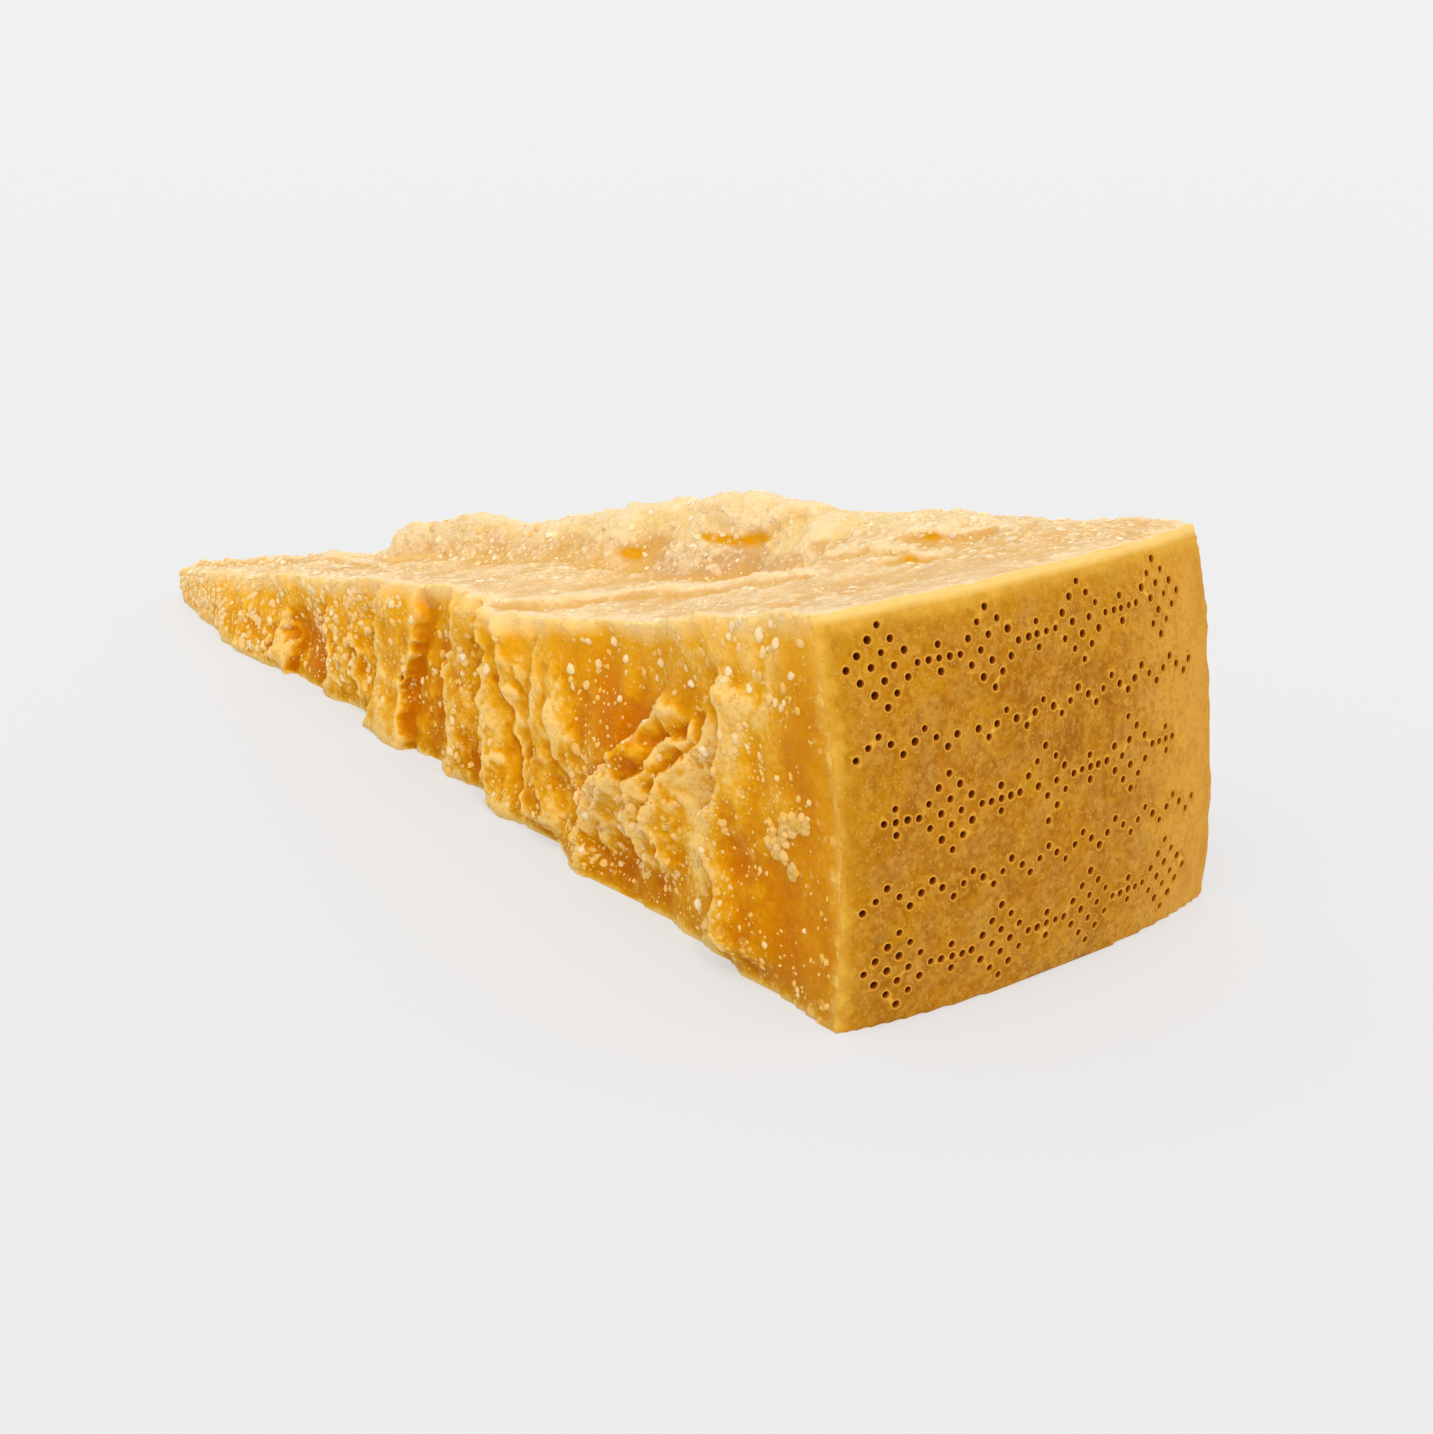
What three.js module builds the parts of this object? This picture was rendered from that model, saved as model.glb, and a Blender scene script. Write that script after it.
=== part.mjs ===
// A wedge of hard, aged cheese, broken from a wheel, lying on its flat cut.
//
// Millimetres, +Z up. The wedge is laid out from the middle of the wheel: +X runs from the thin tip to
// the rind, -Y is the near broken side and +Y the far one. At the end the group is shifted so that its
// origin is the middle of the underside.

import * as THREE from 'three';
import { mergeVertices } from 'three/addons/utils/BufferGeometryUtils.js';

// ---- driving dimensions ----

const WHEEL_RADIUS = 205;                              // middle of the wheel to the rind
const HALF_ANGLE = THREE.MathUtils.degToRad(8.73);     // half of the slice's angle
const TIP_X = -2.9;                                    // the tip ends just past the middle of the wheel
const TIP_CUT = 1.8;                                   // how far its foot stays back under it
const TIP_HEIGHT = 6;
const TIP_BLUNT = 1.6;                                 // half the tip's thickness, seen from above
const TIP_ROUND = 3;                                   // length over which the tip is rounded off
const TIP_DROP = 1.6;                                  // how much lower its very end is
const TIP_NARROW = 0.45;                               // and what part of the width is left there
const RIND_HEIGHT = 46.8;
const RIND_TOP_X = 198.4;                              // where the top's slope reaches that height
const RIND_LEAN = THREE.MathUtils.degToRad(5.9);       // the rind leans back over the wedge
const RIND_BARREL = 2.0;                               // how far the rind swells at half its height
const RIND_BOW = 1.2;                                  // and how far more than the wheel's round across it
const BARREL_POWER = 2.6;                              // how square those two curves are
const BOW_POWER = 3.5;

const SIDE_STEP = 2.15;                                // grid spacing on each surface
const TOP_STEP = 2.25;
const RIND_STEP = 2.6;
const BASE_STEP = 9;
const STATION_STEP = 2.1;                              // spacing of the cross-sections along the wedge

const RIND_START = 0.97;                               // part of the length where the plain rind begins
const EDGE_REACH = 3.5;                                // how far a side's relief carries over the top
const SEED = 4177;

// ---- crags of the broken faces ----
//
// A ledge is a long step in the face. Its line is a row of [up, along] places; the face stands out by rise
// on the rind's side of it, falls back over run, and has a hollow on the tip's side. With a negative run
// it faces the other way.
// A flake is a small plate with one sharp, ragged edge: along and up place the middle of the edge, turn
// leans it (0 is upright with the run towards the rind), half is half of its length.
// A lump is a soft swelling, or a hollow where its rise is negative.

const NEAR_LEDGES = [
  { rise: 1.2, run: -9, hollow: 1.8, line: [[0, 50], [5, 49.5], [9, 47]] },
  { rise: 1.2, run: 6, hollow: 0.8, line: [[1, 62.5], [7, 63.6], [13, 62]] },
  { rise: 1.3, run: 6, hollow: 0.9, line: [[1.5, 74], [9.4, 71.8], [17, 71]] },
  { rise: 2.0, run: 13, hollow: 1.2, line: [[0, 80], [4.4, 82], [11.9, 82.2], [20.6, 83.5]] },
  { rise: 1.2, run: -9, hollow: 2.0, line: [[0.4, 93.6], [9.8, 92.3], [18.5, 97], [22.5, 96.4]] },
  { rise: 1.7, run: 11, hollow: 1.0, line: [[1, 104.9], [8, 105.2], [16, 103], [23, 109.7], [26, 109.3]] },
  {
    rise: 2.3,
    run: 8,
    hollow: 1.6,
    line: [[1, 121], [6.4, 119.2], [13.5, 118], [19.8, 118], [27.5, 118.6]],
  },
  { rise: 0.9, run: 5, hollow: 0.6, line: [[4, 130], [10, 126.7], [17.6, 123.6], [25.7, 122.5]] },
  {
    rise: 2.3,
    run: 17,
    hollow: 2.0,
    line: [[4, 133.2], [11.9, 132], [19, 132.4], [26.1, 133.8], [30.4, 135]],
  },
  { rise: 1.2, run: 7, hollow: 0.6, line: [[2.8, 146.9], [10.8, 144], [14.4, 140], [18.7, 138.5]] },
  { rise: 2.1, run: 7, hollow: 0.9, line: [[5.5, 146.5], [11.5, 148.3], [16.1, 154], [20, 159.5]] },
  {
    rise: 2.3,
    run: 7,
    hollow: 1.0,
    line: [[5.5, 152], [11.4, 153.4], [18, 158.4], [22.3, 160.1], [26.4, 164.9]],
  },
  {
    rise: 2.1,
    run: 6,
    hollow: 1.1,
    line: [[6.7, 161.4], [11.1, 159.3], [16.2, 161.6], [22.1, 166.8], [25.4, 170.9]],
  },
  {
    rise: 1.8,
    run: 6,
    hollow: 1.1,
    line: [[8, 166.6], [12.3, 164.6], [16.7, 166.7], [22.6, 171.8], [26.9, 175.7]],
  },
  {
    rise: 2.9,
    run: 24,
    hollow: 1.5,
    line: [[4.5, 176.5], [11.1, 175.5], [12.8, 172.9], [15.2, 173.7], [21.2, 177.6], [27.7, 178.6], [33, 177.5]],
  },
];

const FAR_LEDGES = [
  { rise: 2.2, run: 14, hollow: 0.8, line: [[1, 70], [12, 68], [21, 71]] },
  { rise: 1.9, run: 12, hollow: 1.0, line: [[0, 94], [10, 91], [20, 93], [27, 90]] },
  { rise: 2.6, run: 17, hollow: 1.4, line: [[2, 114], [12, 111], [24, 113], [33, 116]] },
  { rise: 2.2, run: 12, hollow: 1.2, line: [[6, 131], [14, 135], [22, 142], [31, 146]] },
  { rise: 1.8, run: 9, hollow: 1.0, line: [[1, 152], [9, 148], [17, 151]] },
  { rise: 2.6, run: 21, hollow: 1.4, line: [[2, 168], [14, 172], [26, 169], [38, 172]] },
];

const NEAR_FLAKES = [
  { along: 20, up: 6, turn: -12, half: 4, run: 8, rise: 1.0 },
  { along: 33, up: 5, turn: 8, half: 5, run: 7, rise: 1.1 },
  { along: 44, up: 5, turn: -20, half: 4, run: 6, rise: 1.6 },
  { along: 184, up: 34, turn: 12, half: 6, run: 8, rise: 0.9 },
  { along: 190, up: 38, turn: -8, half: 4, run: 6, rise: 0.7 },
  { along: 184, up: 4, turn: 30, half: 4, run: 6, rise: 0.8 },
];

const NEAR_LUMPS = [
  { along: 28, up: -1, wide: 24, tall: 10, rise: 4.4 },
  { along: 55, up: 8, wide: 6, tall: 5, rise: -2.0 },
  { along: 87, up: 0, wide: 7, tall: 5, rise: 1.8 },
  { along: 100, up: 15, wide: 5, tall: 12, rise: -1.2 },
  { along: 86, up: 16, wide: 12, tall: 14, rise: -1.4 },
  { along: 122, up: 16, wide: 16, tall: 18, rise: -0.9 },
  { along: 158, up: 22, wide: 20, tall: 15, rise: -1.6 },
  { along: 152, up: 30, wide: 13, tall: 7, rise: -2.4 },
  { along: 161, up: 17, wide: 13, tall: 8, rise: 2.6 },
  { along: 155, up: 5, wide: 9, tall: 3.5, rise: -1.8 },
  { along: 180, up: 22, wide: 9, tall: 14, rise: -1.4 },
  { along: 127, up: 0, wide: 4, tall: 5, rise: 1.9 },
  { along: 150, up: 0, wide: 8, tall: 4, rise: 1.8 },
  { along: 168, up: 0, wide: 5, tall: 4, rise: 0.8 },
  { along: 206, up: 20, wide: 15, tall: 15, rise: -0.8 },
  { along: 206, up: 46, wide: 12, tall: 12, rise: 0.7 },
];

const FAR_FLAKES = [
  { along: 28, up: 6, turn: 6, half: 5, run: 8, rise: 1.2 },
  { along: 50, up: 8, turn: -10, half: 6, run: 8, rise: 1.5 },
  { along: 128, up: 8, turn: 12, half: 6, run: 8, rise: 1.2 },
  { along: 190, up: 12, turn: -14, half: 7, run: 9, rise: 0.9 },
];

const FAR_LUMPS = [
  { along: 25, up: 0, wide: 24, tall: 10, rise: 2.4 },
  { along: 84, up: 14, wide: 7, tall: 12, rise: -2.0 },
  { along: 128, up: 26, wide: 14, tall: 11, rise: -2.2 },
  { along: 160, up: 12, wide: 9, tall: 12, rise: -2.0 },
  { along: 206, up: 44, wide: 12, tall: 12, rise: 1.0 },
];

// On the top, a ledge's line is a row of [x, y] places, and its high side is the far one.
const TOP_LEDGES = [
  { rise: 1.2, run: 12, hollow: 0.3, line: [[118, -17.3], [130, -14], [140, -9.5], [150, -6], [166, -4]] },
  { rise: 1.3, run: 8, hollow: 0.5, line: [[114, 6], [120, 5.5], [126, 7]] },
  { rise: 1.9, run: 8, hollow: 0.8, line: [[129, 9], [135, 8.5], [141, 10], [145, 13]] },
  { rise: 0.6, run: 8, hollow: 0.2, line: [[30, 1], [44, 3], [58, 2]] },
  { rise: 0.8, run: 9, hollow: 0.3, line: [[150, 9], [160, 6], [172, 7]] },
];

// On the top, across runs from -1 at the near edge to 1 at the far one.
const TOP_LUMPS = [
  { along: 138, up: 0.22, wide: 19, tall: 0.42, rise: -2.6 },
  { along: 122, up: 0.45, wide: 9, tall: 0.22, rise: -1.2 },
  { along: 84, up: -0.1, wide: 12, tall: 0.5, rise: -0.6 },
  { along: 170, up: 0.55, wide: 13, tall: 0.4, rise: 0.7 },
  { along: 182, up: -0.25, wide: 9, tall: 0.35, rise: -0.7 },
  { along: 40, up: 0.3, wide: 7, tall: 0.6, rise: 0.7 },
];

// A raised bank of cheese along the far side of the top: its height at places along the wedge, and where
// its face starts and ends across it, first near the tip and then near the rind.
const BANK_HEIGHTS = [
  [-3, 1.2], [30, 1.5], [49, 1.0], [54, 1.8], [59, 6.4], [70, 7.6], [80, 6.6], [92, 5.4], [104, 5.8],
  [115, 7.6], [128, 7.8], [139, 6.6], [150, 4.9], [162, 3.4], [180, 2.0], [192, 1.1], [200, 0], [220, 0],
];
const BANK_FOOT = [0.5, 0.22];
const BANK_BROW = [0.92, 0.74];
const BANK_TURN = [66, 108];
const BANK_WAVES = [[0.05, 0.35]];
const BANK_CREST = 0.8;                                // beyond this it falls by a part of its height
const BANK_BACK = 0.25;
const NEAR_DIP = { start: 104, full: 128, turn: 150, end: 197, reach: [-0.45, 0.9], depth: 3.2 };

const SWELL_WAVES = [
  { size: 0.55, rate: 0.21, lean: 0.05, shift: 1 },
  { size: 0.4, rate: 0.47, lean: -0.13, shift: 2.1 },
  { size: 0.3, rate: 0.12, lean: 0.39, shift: 3.7 },
  { size: 0.22, rate: 0.83, lean: 0.31, shift: 5.3 },
];
const SWELL = 0.8;                                     // the broken faces' broad unevenness
const TOP_SWELL = 0.4;
const NEAR_PHASE = 0.7;                                // where its waves start on each of them
const FAR_PHASE = 2.9;
const TOP_PHASE = 4.4;
const RAGGED_LEDGE = [[0.35, 1.3], [0.25, 3.1]];       // waves of the ragged edges, [size, rate]
const RAGGED_FLAKE = [[0.5, 1.1], [0.35, 2.3]];
const TOP_TEMPO = 0.3;                                 // a ledge of the top is less ragged
const TIP_CALM = [-4, 26];                             // over which the relief grows from the tip on
const RIND_CALM_REACH = [183, 201];                    // and dies down towards the rind
const RIND_CALM = 0.8;
const LEDGE_EDGE = 1.3;                                // width of a ledge's step
const LEDGE_FADE = 3;                                  // how far it dies out past the ends of its line
const HOLLOW_REACH = 3.2;
const FLAKE_EDGE = 0.8;
const FLAKE_END = 0.65;                                // part of its half where a flake starts to die out

const RANDOM_FLAKES = {
  count: 46,
  along: [8, 191],
  half: [2.5, 6],
  run: [3, 7],
  rise: [0.4, 1.1],
  turn: 38,
};

// ---- helpers ----

const smoothstep = THREE.MathUtils.smoothstep;
const lerp = THREE.MathUtils.lerp;

// Small seeded generator, so that the same crags come out each time.
function randomSource(seed) {
  let state = seed >>> 0;
  return () => {
    state = (state + 0x6d2b79f5) >>> 0;
    let mixed = Math.imul(state ^ (state >>> 15), state | 1);
    mixed ^= mixed + Math.imul(mixed ^ (mixed >>> 7), mixed | 61);
    return ((mixed ^ (mixed >>> 14)) >>> 0) / 4294967296;
  };
}

// Sum of sine waves, each given as [size, rate], that start at the given phases.
function ripple(waves, distance, ...starts) {
  return waves.reduce((sum, [size, rate], i) => sum + size * Math.sin(distance * rate + starts[i]), 0);
}

function scatterFlakes(seed) {
  const draw = randomSource(seed);
  const between = ([low, high]) => lerp(low, high, draw());
  const flakes = [];
  for (let i = 0; i < RANDOM_FLAKES.count; i += 1) {
    const along = lerp(...RANDOM_FLAKES.along, Math.sqrt(draw()));
    flakes.push({
      along,
      up: draw() * baseHeight(along),
      turn: lerp(-RANDOM_FLAKES.turn, RANDOM_FLAKES.turn, draw()),
      half: between(RANDOM_FLAKES.half),
      run: between(RANDOM_FLAKES.run),
      rise: between(RANDOM_FLAKES.rise),
    });
  }
  return flakes;
}

function lumpRelief(lump, along, up) {
  const a = (along - lump.along) / lump.wide;
  const b = (up - lump.up) / lump.tall;
  return lump.rise * Math.exp(-(a * a + b * b));
}

function flakeRelief(flake, along, up) {
  const turn = THREE.MathUtils.degToRad(flake.turn);
  const dAlong = along - flake.along;
  const dUp = up - flake.up;
  const onEdge = dUp * Math.cos(turn) - dAlong * Math.sin(turn);
  const ragged = ripple(RAGGED_FLAKE, onEdge, flake.along, flake.up);
  const past = dAlong * Math.cos(turn) + dUp * Math.sin(turn) + ragged;
  if (past <= 0 || past >= flake.run) {
    return 0;
  }
  const ends = 1 - smoothstep(Math.abs(onEdge) / flake.half, FLAKE_END, 1);
  return flake.rise * ends * smoothstep(past, 0, FLAKE_EDGE) * (1 - past / flake.run);
}

function placeOnLine(line, up) {
  const next = line.findIndex(([height]) => height > up);
  if (next === 0) {
    return line[0][1];
  }
  if (next < 0) {
    return line[line.length - 1][1];
  }
  const [[low, from], [high, to]] = [line[next - 1], line[next]];
  return lerp(from, to, (up - low) / (high - low));
}

function ledgeRelief({ line, rise, run, hollow }, along, up, tempo = 1) {
  const [lowest, first] = line[0];
  const [highest, last] = line[line.length - 1];
  const ragged = ripple(RAGGED_LEDGE, up * tempo, first, last);
  const past = Math.sign(run) * (along - placeOnLine(line, up)) + ragged;
  const foot = smoothstep(up, lowest - LEDGE_FADE, lowest);
  const ends = foot * (1 - smoothstep(up, highest, highest + LEDGE_FADE));
  if (past < 0) {
    return -ends * hollow * Math.exp(past / HOLLOW_REACH);
  }
  const back = rise * Math.max(0, 1 - past / Math.abs(run));
  return ends * lerp(-hollow, back, smoothstep(past, 0, LEDGE_EDGE));
}

// Broad unevenness of a broken face, a few millimetres to a few centimetres long.
function swell(along, up, phase) {
  return SWELL_WAVES.reduce(
    (sum, { size, rate, lean, shift }) => sum + size * Math.sin(along * rate + up * lean + phase * shift),
    0,
  );
}

// ---- form of the wedge ----

// 0 at the very end of the tip, rising to 1 where its rounding ends.
function tipRound(x) {
  const part = Math.min(1, Math.max(0, (x - TIP_X) / TIP_ROUND));
  return Math.sqrt(1 - (1 - part) ** 2);
}

function baseHeight(x) {
  const slope = (RIND_HEIGHT - TIP_HEIGHT) / RIND_TOP_X;
  return TIP_HEIGHT + slope * x - TIP_DROP * (1 - tipRound(x));
}

function halfWidth(x) {
  const cut = x * Math.tan(HALF_ANGLE);
  return 0.5 * (cut + Math.hypot(cut, 2 * TIP_BLUNT)) * lerp(TIP_NARROW, 1, tipRound(x));
}

function rindX(y, z) {
  const mid = RIND_HEIGHT / 2;
  const barrel = RIND_BARREL * (1 - Math.abs((z - mid) / mid) ** BARREL_POWER);
  const bow = RIND_BOW * (1 - Math.abs(y / halfWidth(WHEEL_RADIUS)) ** BOW_POWER);
  return Math.sqrt(WHEEL_RADIUS ** 2 - y ** 2) - z * Math.tan(RIND_LEAN) + barrel + bow;
}

// The relief dies out at the rind, whose edges were sawn, and is less at the thin tip.
function calm(along) {
  return smoothstep(along, ...TIP_CALM) * (1 - RIND_CALM * smoothstep(along, ...RIND_CALM_REACH));
}

function sideRelief({ ledges, flakes, lumps, phase }, along, up) {
  let relief = swell(along, up, phase) * SWELL;
  for (const ledge of ledges) {
    relief += ledgeRelief(ledge, along, up);
  }
  for (const flake of flakes) {
    relief += flakeRelief(flake, along, up);
  }
  relief *= calm(along);
  for (const lump of lumps) {
    relief += lumpRelief(lump, along, up);
  }
  return relief;
}

function bankHeight(x) {
  const last = BANK_HEIGHTS.length - 1;
  const i = Math.max(1, Math.min(last, BANK_HEIGHTS.findIndex(([place]) => place > x)));
  const [[x0, low], [x1, high]] = [BANK_HEIGHTS[i - 1], BANK_HEIGHTS[i]];
  return lerp(low, high, smoothstep(x, x0, x1));
}

function bankRelief(x, across) {
  const turn = smoothstep(x, ...BANK_TURN);
  const wavy = across + ripple(BANK_WAVES, x, 0);
  const face = smoothstep(wavy, lerp(...BANK_FOOT, turn), lerp(...BANK_BROW, turn));
  const back = 1 - BANK_BACK * smoothstep(across, BANK_CREST, 1);
  return bankHeight(x) * face * back;
}

function topRelief(x, across) {
  const down = smoothstep(x, NEAR_DIP.start, NEAR_DIP.full);
  const dip = down * (1 - smoothstep(x, NEAR_DIP.turn, NEAR_DIP.end));
  let relief = bankRelief(x, across) - NEAR_DIP.depth * dip * smoothstep(-across, ...NEAR_DIP.reach);
  for (const lump of TOP_LUMPS) {
    relief += lumpRelief(lump, x, across);
  }
  for (const ledge of TOP_LEDGES) {
    relief += ledgeRelief(ledge, across * halfWidth(x), x, TOP_TEMPO);
  }
  return relief + TOP_SWELL * calm(x) * swell(x, across * halfWidth(x), TOP_PHASE);
}

const nearFace = {
  ledges: NEAR_LEDGES,
  flakes: [...NEAR_FLAKES, ...scatterFlakes(SEED)],
  lumps: NEAR_LUMPS,
  phase: NEAR_PHASE,
};

const farFace = {
  ledges: FAR_LEDGES,
  flakes: [...FAR_FLAKES, ...scatterFlakes(SEED + 1)],
  lumps: FAR_LUMPS,
  phase: FAR_PHASE,
};

// Point of the skin at part u of the length, across from -1 to 1, and part v of the height there.
function skinPoint(u, across, v) {
  const rind = rindX(across * halfWidth(WHEEL_RADIUS), v * RIND_HEIGHT);
  const x = lerp(TIP_X + TIP_CUT * (1 - v), rind, u);
  const half = halfWidth(x);
  const y = across * half;
  const z = v * (baseHeight(x) + topRelief(x, across));
  const along = x / Math.cos(HALF_ANGLE);
  const near = sideRelief(nearFace, along, z) * Math.exp(-(half + y) / EDGE_REACH);
  const far = sideRelief(farFace, along, z) * Math.exp(-(half - y) / EDGE_REACH);
  const isRind = smoothstep(u, RIND_START, 1);
  const lengthwise = -(near + far) * Math.sin(HALF_ANGLE) * (1 - isRind);
  return new THREE.Vector3(x + lengthwise, y + (far - near) * Math.cos(HALF_ANGLE), z);
}

// ---- the skin as one closed mesh ----

const stations = Math.round((WHEEL_RADIUS - TIP_X) / STATION_STEP);
const points = [];
const triangles = [];

function addPoint(point) {
  points.push(point);
  return points.length - 1;
}

function segments(length, step) {
  return Math.max(1, Math.round(length / step));
}

// Points from one corner of a section to the next; the corners themselves are shared.
function addRun(u, from, to, count, first, last) {
  const run = [first];
  for (let i = 1; i < count; i += 1) {
    const part = i / count;
    run.push(addPoint(skinPoint(u, lerp(from[0], to[0], part), lerp(from[1], to[1], part))));
  }
  run.push(last);
  return run;
}

// Triangles between two runs that may differ in their number of points.
function zip(left, right) {
  let i = 0;
  let j = 0;
  while (i < left.length - 1 || j < right.length - 1) {
    const nextLeft = (i + 1) / (left.length - 1);
    const nextRight = (j + 1) / (right.length - 1);
    if (j === right.length - 1 || (i < left.length - 1 && nextLeft <= nextRight)) {
      triangles.push([left[i], right[j], left[i + 1]]);
      i += 1;
    } else {
      triangles.push([left[i], right[j], right[j + 1]]);
      j += 1;
    }
  }
}

function addSection(u) {
  const x = lerp(TIP_X, WHEEL_RADIUS, u);
  const height = baseHeight(x);
  const width = 2 * halfWidth(x);
  const nearFoot = addPoint(skinPoint(u, -1, 0));
  const nearTop = addPoint(skinPoint(u, -1, 1));
  const farTop = addPoint(skinPoint(u, 1, 1));
  const farFoot = addPoint(skinPoint(u, 1, 0));
  return {
    near: addRun(u, [-1, 0], [-1, 1], segments(height, SIDE_STEP), nearFoot, nearTop),
    top: addRun(u, [-1, 1], [1, 1], segments(width, TOP_STEP), nearTop, farTop),
    far: addRun(u, [1, 1], [1, 0], segments(height, SIDE_STEP), farTop, farFoot),
    base: addRun(u, [1, 0], [-1, 0], segments(width, BASE_STEP), farFoot, nearFoot),
  };
}

// Closes an end of the wedge with rows of points from its near edge to its far edge.
function closeEnd(u, section, step, turned) {
  const farUp = [...section.far].reverse();
  const rows = farUp.length - 1;
  const count = segments(2 * halfWidth(lerp(TIP_X, WHEEL_RADIUS, u)), step);
  let lower = [...section.base].reverse();
  for (let row = 1; row <= rows; row += 1) {
    const v = row / rows;
    const upper = row === rows
      ? section.top
      : addRun(u, [-1, v], [1, v], count, section.near[row], farUp[row]);
    if (turned) {
      zip(lower, upper);
    } else {
      zip(upper, lower);
    }
    lower = upper;
  }
}

function buildSkin() {
  let previous = addSection(0);
  closeEnd(0, previous, TOP_STEP, true);
  for (let station = 1; station <= stations; station += 1) {
    const section = addSection(station / stations);
    for (const side of ['near', 'top', 'far', 'base']) {
      zip(previous[side], section[side]);
    }
    previous = section;
  }
  closeEnd(1, previous, RIND_STEP, false);
  const geometry = new THREE.BufferGeometry();
  const places = points.flatMap((point) => point.toArray());
  geometry.setAttribute('position', new THREE.Float32BufferAttribute(places, 3));
  geometry.setIndex(triangles.flat());
  const skin = mergeVertices(geometry);
  skin.computeVertexNormals();
  return skin;
}

// ---- assembly ----

const cheese = new THREE.Mesh(
  buildSkin(),
  new THREE.MeshStandardMaterial({ color: 0xe3a83f, roughness: 0.55, metalness: 0, name: 'cheese' }),
);
cheese.name = 'cheese';

cheese.geometry.computeBoundingBox();
const box = cheese.geometry.boundingBox;
cheese.position.set(-(box.min.x + box.max.x) / 2, -(box.min.y + box.max.y) / 2, -box.min.z);

const wedge = new THREE.Group();
wedge.name = 'parmesan_chunk';
wedge.add(cheese);

export default wedge;
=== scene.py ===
import math
from functools import partialmethod
from itertools import product

import bmesh
import bpy
import numpy as np
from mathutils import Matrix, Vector


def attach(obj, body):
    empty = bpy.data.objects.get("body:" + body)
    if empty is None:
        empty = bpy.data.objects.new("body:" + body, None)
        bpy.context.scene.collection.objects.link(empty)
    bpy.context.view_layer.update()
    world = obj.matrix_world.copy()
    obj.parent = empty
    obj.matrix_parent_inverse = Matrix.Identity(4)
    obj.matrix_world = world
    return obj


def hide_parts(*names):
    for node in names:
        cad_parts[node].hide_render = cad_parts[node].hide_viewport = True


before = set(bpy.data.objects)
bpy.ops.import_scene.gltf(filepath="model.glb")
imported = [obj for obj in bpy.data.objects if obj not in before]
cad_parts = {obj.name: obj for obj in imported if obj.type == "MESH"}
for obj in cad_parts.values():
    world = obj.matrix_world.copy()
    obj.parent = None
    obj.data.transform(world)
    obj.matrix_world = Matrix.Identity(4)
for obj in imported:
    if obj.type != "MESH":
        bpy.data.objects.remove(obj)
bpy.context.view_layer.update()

# A wedge of hard, aged cheese. Sizes are in millimetres until a mesh is written, which is in metres.
# The wedge is laid out from the middle of its wheel: X runs from the thin tip to the rind, -Y is the
# near broken side, and Z is up from the flat cut that it lies on.

MM = 0.001

WHEEL_RADIUS = 205
HALF_ANGLE = math.radians(8.73)
TIP_X = -2.9
TIP_CUT = 1.8
TIP_ROUND = 3
TIP_HEIGHT = 6
TIP_BLUNT = 1.6
TIP_DROP = 1.6
TIP_NARROW = 0.45
RIND_HEIGHT = 46.8
RIND_TOP_X = 198.4
RIND_LEAN = math.radians(5.9)
RIND_BARREL = 2.0
RIND_BOW = 1.2
BARREL_POWER = 2.6
BOW_POWER = 3.5
RIND_START = 0.97
EDGE_REACH = 3.5

SEED = 4177


# ---- crags of the broken faces ----
#
# A ledge is a long step in the face. It follows a line of (up, along) places, stands out by its rise on
# the rind's side of the line and falls back over its run, and has a hollow on the tip's side; with a
# negative run it faces the other way: (line, rise, run, hollow). A flake is a small plate with one sharp
# edge: (along, up, turn, half, run, rise). A lump is a soft swelling, or a hollow where its rise is
# negative: (along, up, wide, tall, rise).

NEAR_LEDGES = [
    ([(0, 50), (5, 49.5), (8, 47)], 1.2, -9, 1.4),
    ([(1, 62.5), (7, 63.6), (13, 62)], 1.2, 6, 0.8),
    ([(1.5, 74), (9.4, 71.8), (17, 71)], 1.3, 6, 0.9),
    ([(0, 80), (4.4, 82), (11.9, 82.2), (20.6, 83.5)], 2.0, 13, 1.2),
    ([(0.4, 93.6), (9.8, 92.3), (18.5, 97), (22.5, 96.4)], 1.2, -9, 2.0),
    ([(1, 104.9), (8, 105.2), (16, 103), (23, 109.7), (26, 109.3)], 1.7, 11, 1.0),
    ([(1, 121), (6.4, 119.2), (13.5, 118), (19.8, 118), (27.5, 118.6)], 2.3, 8, 1.6),
    ([(4, 130), (10, 126.7), (17.6, 123.6), (25.7, 122.5)], 0.9, 5, 0.6),
    ([(4, 133.2), (11.9, 132), (19, 132.4), (26.1, 133.8), (30.4, 135)], 2.3, 17, 2.0),
    ([(2.8, 146.9), (10.8, 144), (14.4, 140), (18.7, 138.5)], 1.2, 7, 0.6),
    ([(5.5, 146.5), (11.5, 148.3), (16.1, 154), (20, 159.5)], 2.1, 7, 0.9),
    ([(5.5, 152), (11.4, 153.4), (18, 158.4), (22.3, 160.1), (26.4, 164.9)], 2.3, 7, 1.0),
    ([(6.7, 161.4), (11.1, 159.3), (16.2, 161.6), (22.1, 166.8), (25.4, 170.9)], 2.1, 6, 1.1),
    ([(8, 166.6), (12.3, 164.6), (16.7, 166.7), (22.6, 171.8), (26.9, 175.7)], 1.8, 6, 1.1),
    ([(4.5, 182), (11.1, 179.5), (12.8, 175.5), (15.2, 176), (21.2, 180.5), (27.7, 181.6), (33, 180.5)],
     2.7, 20, 1.6),
]

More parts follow.
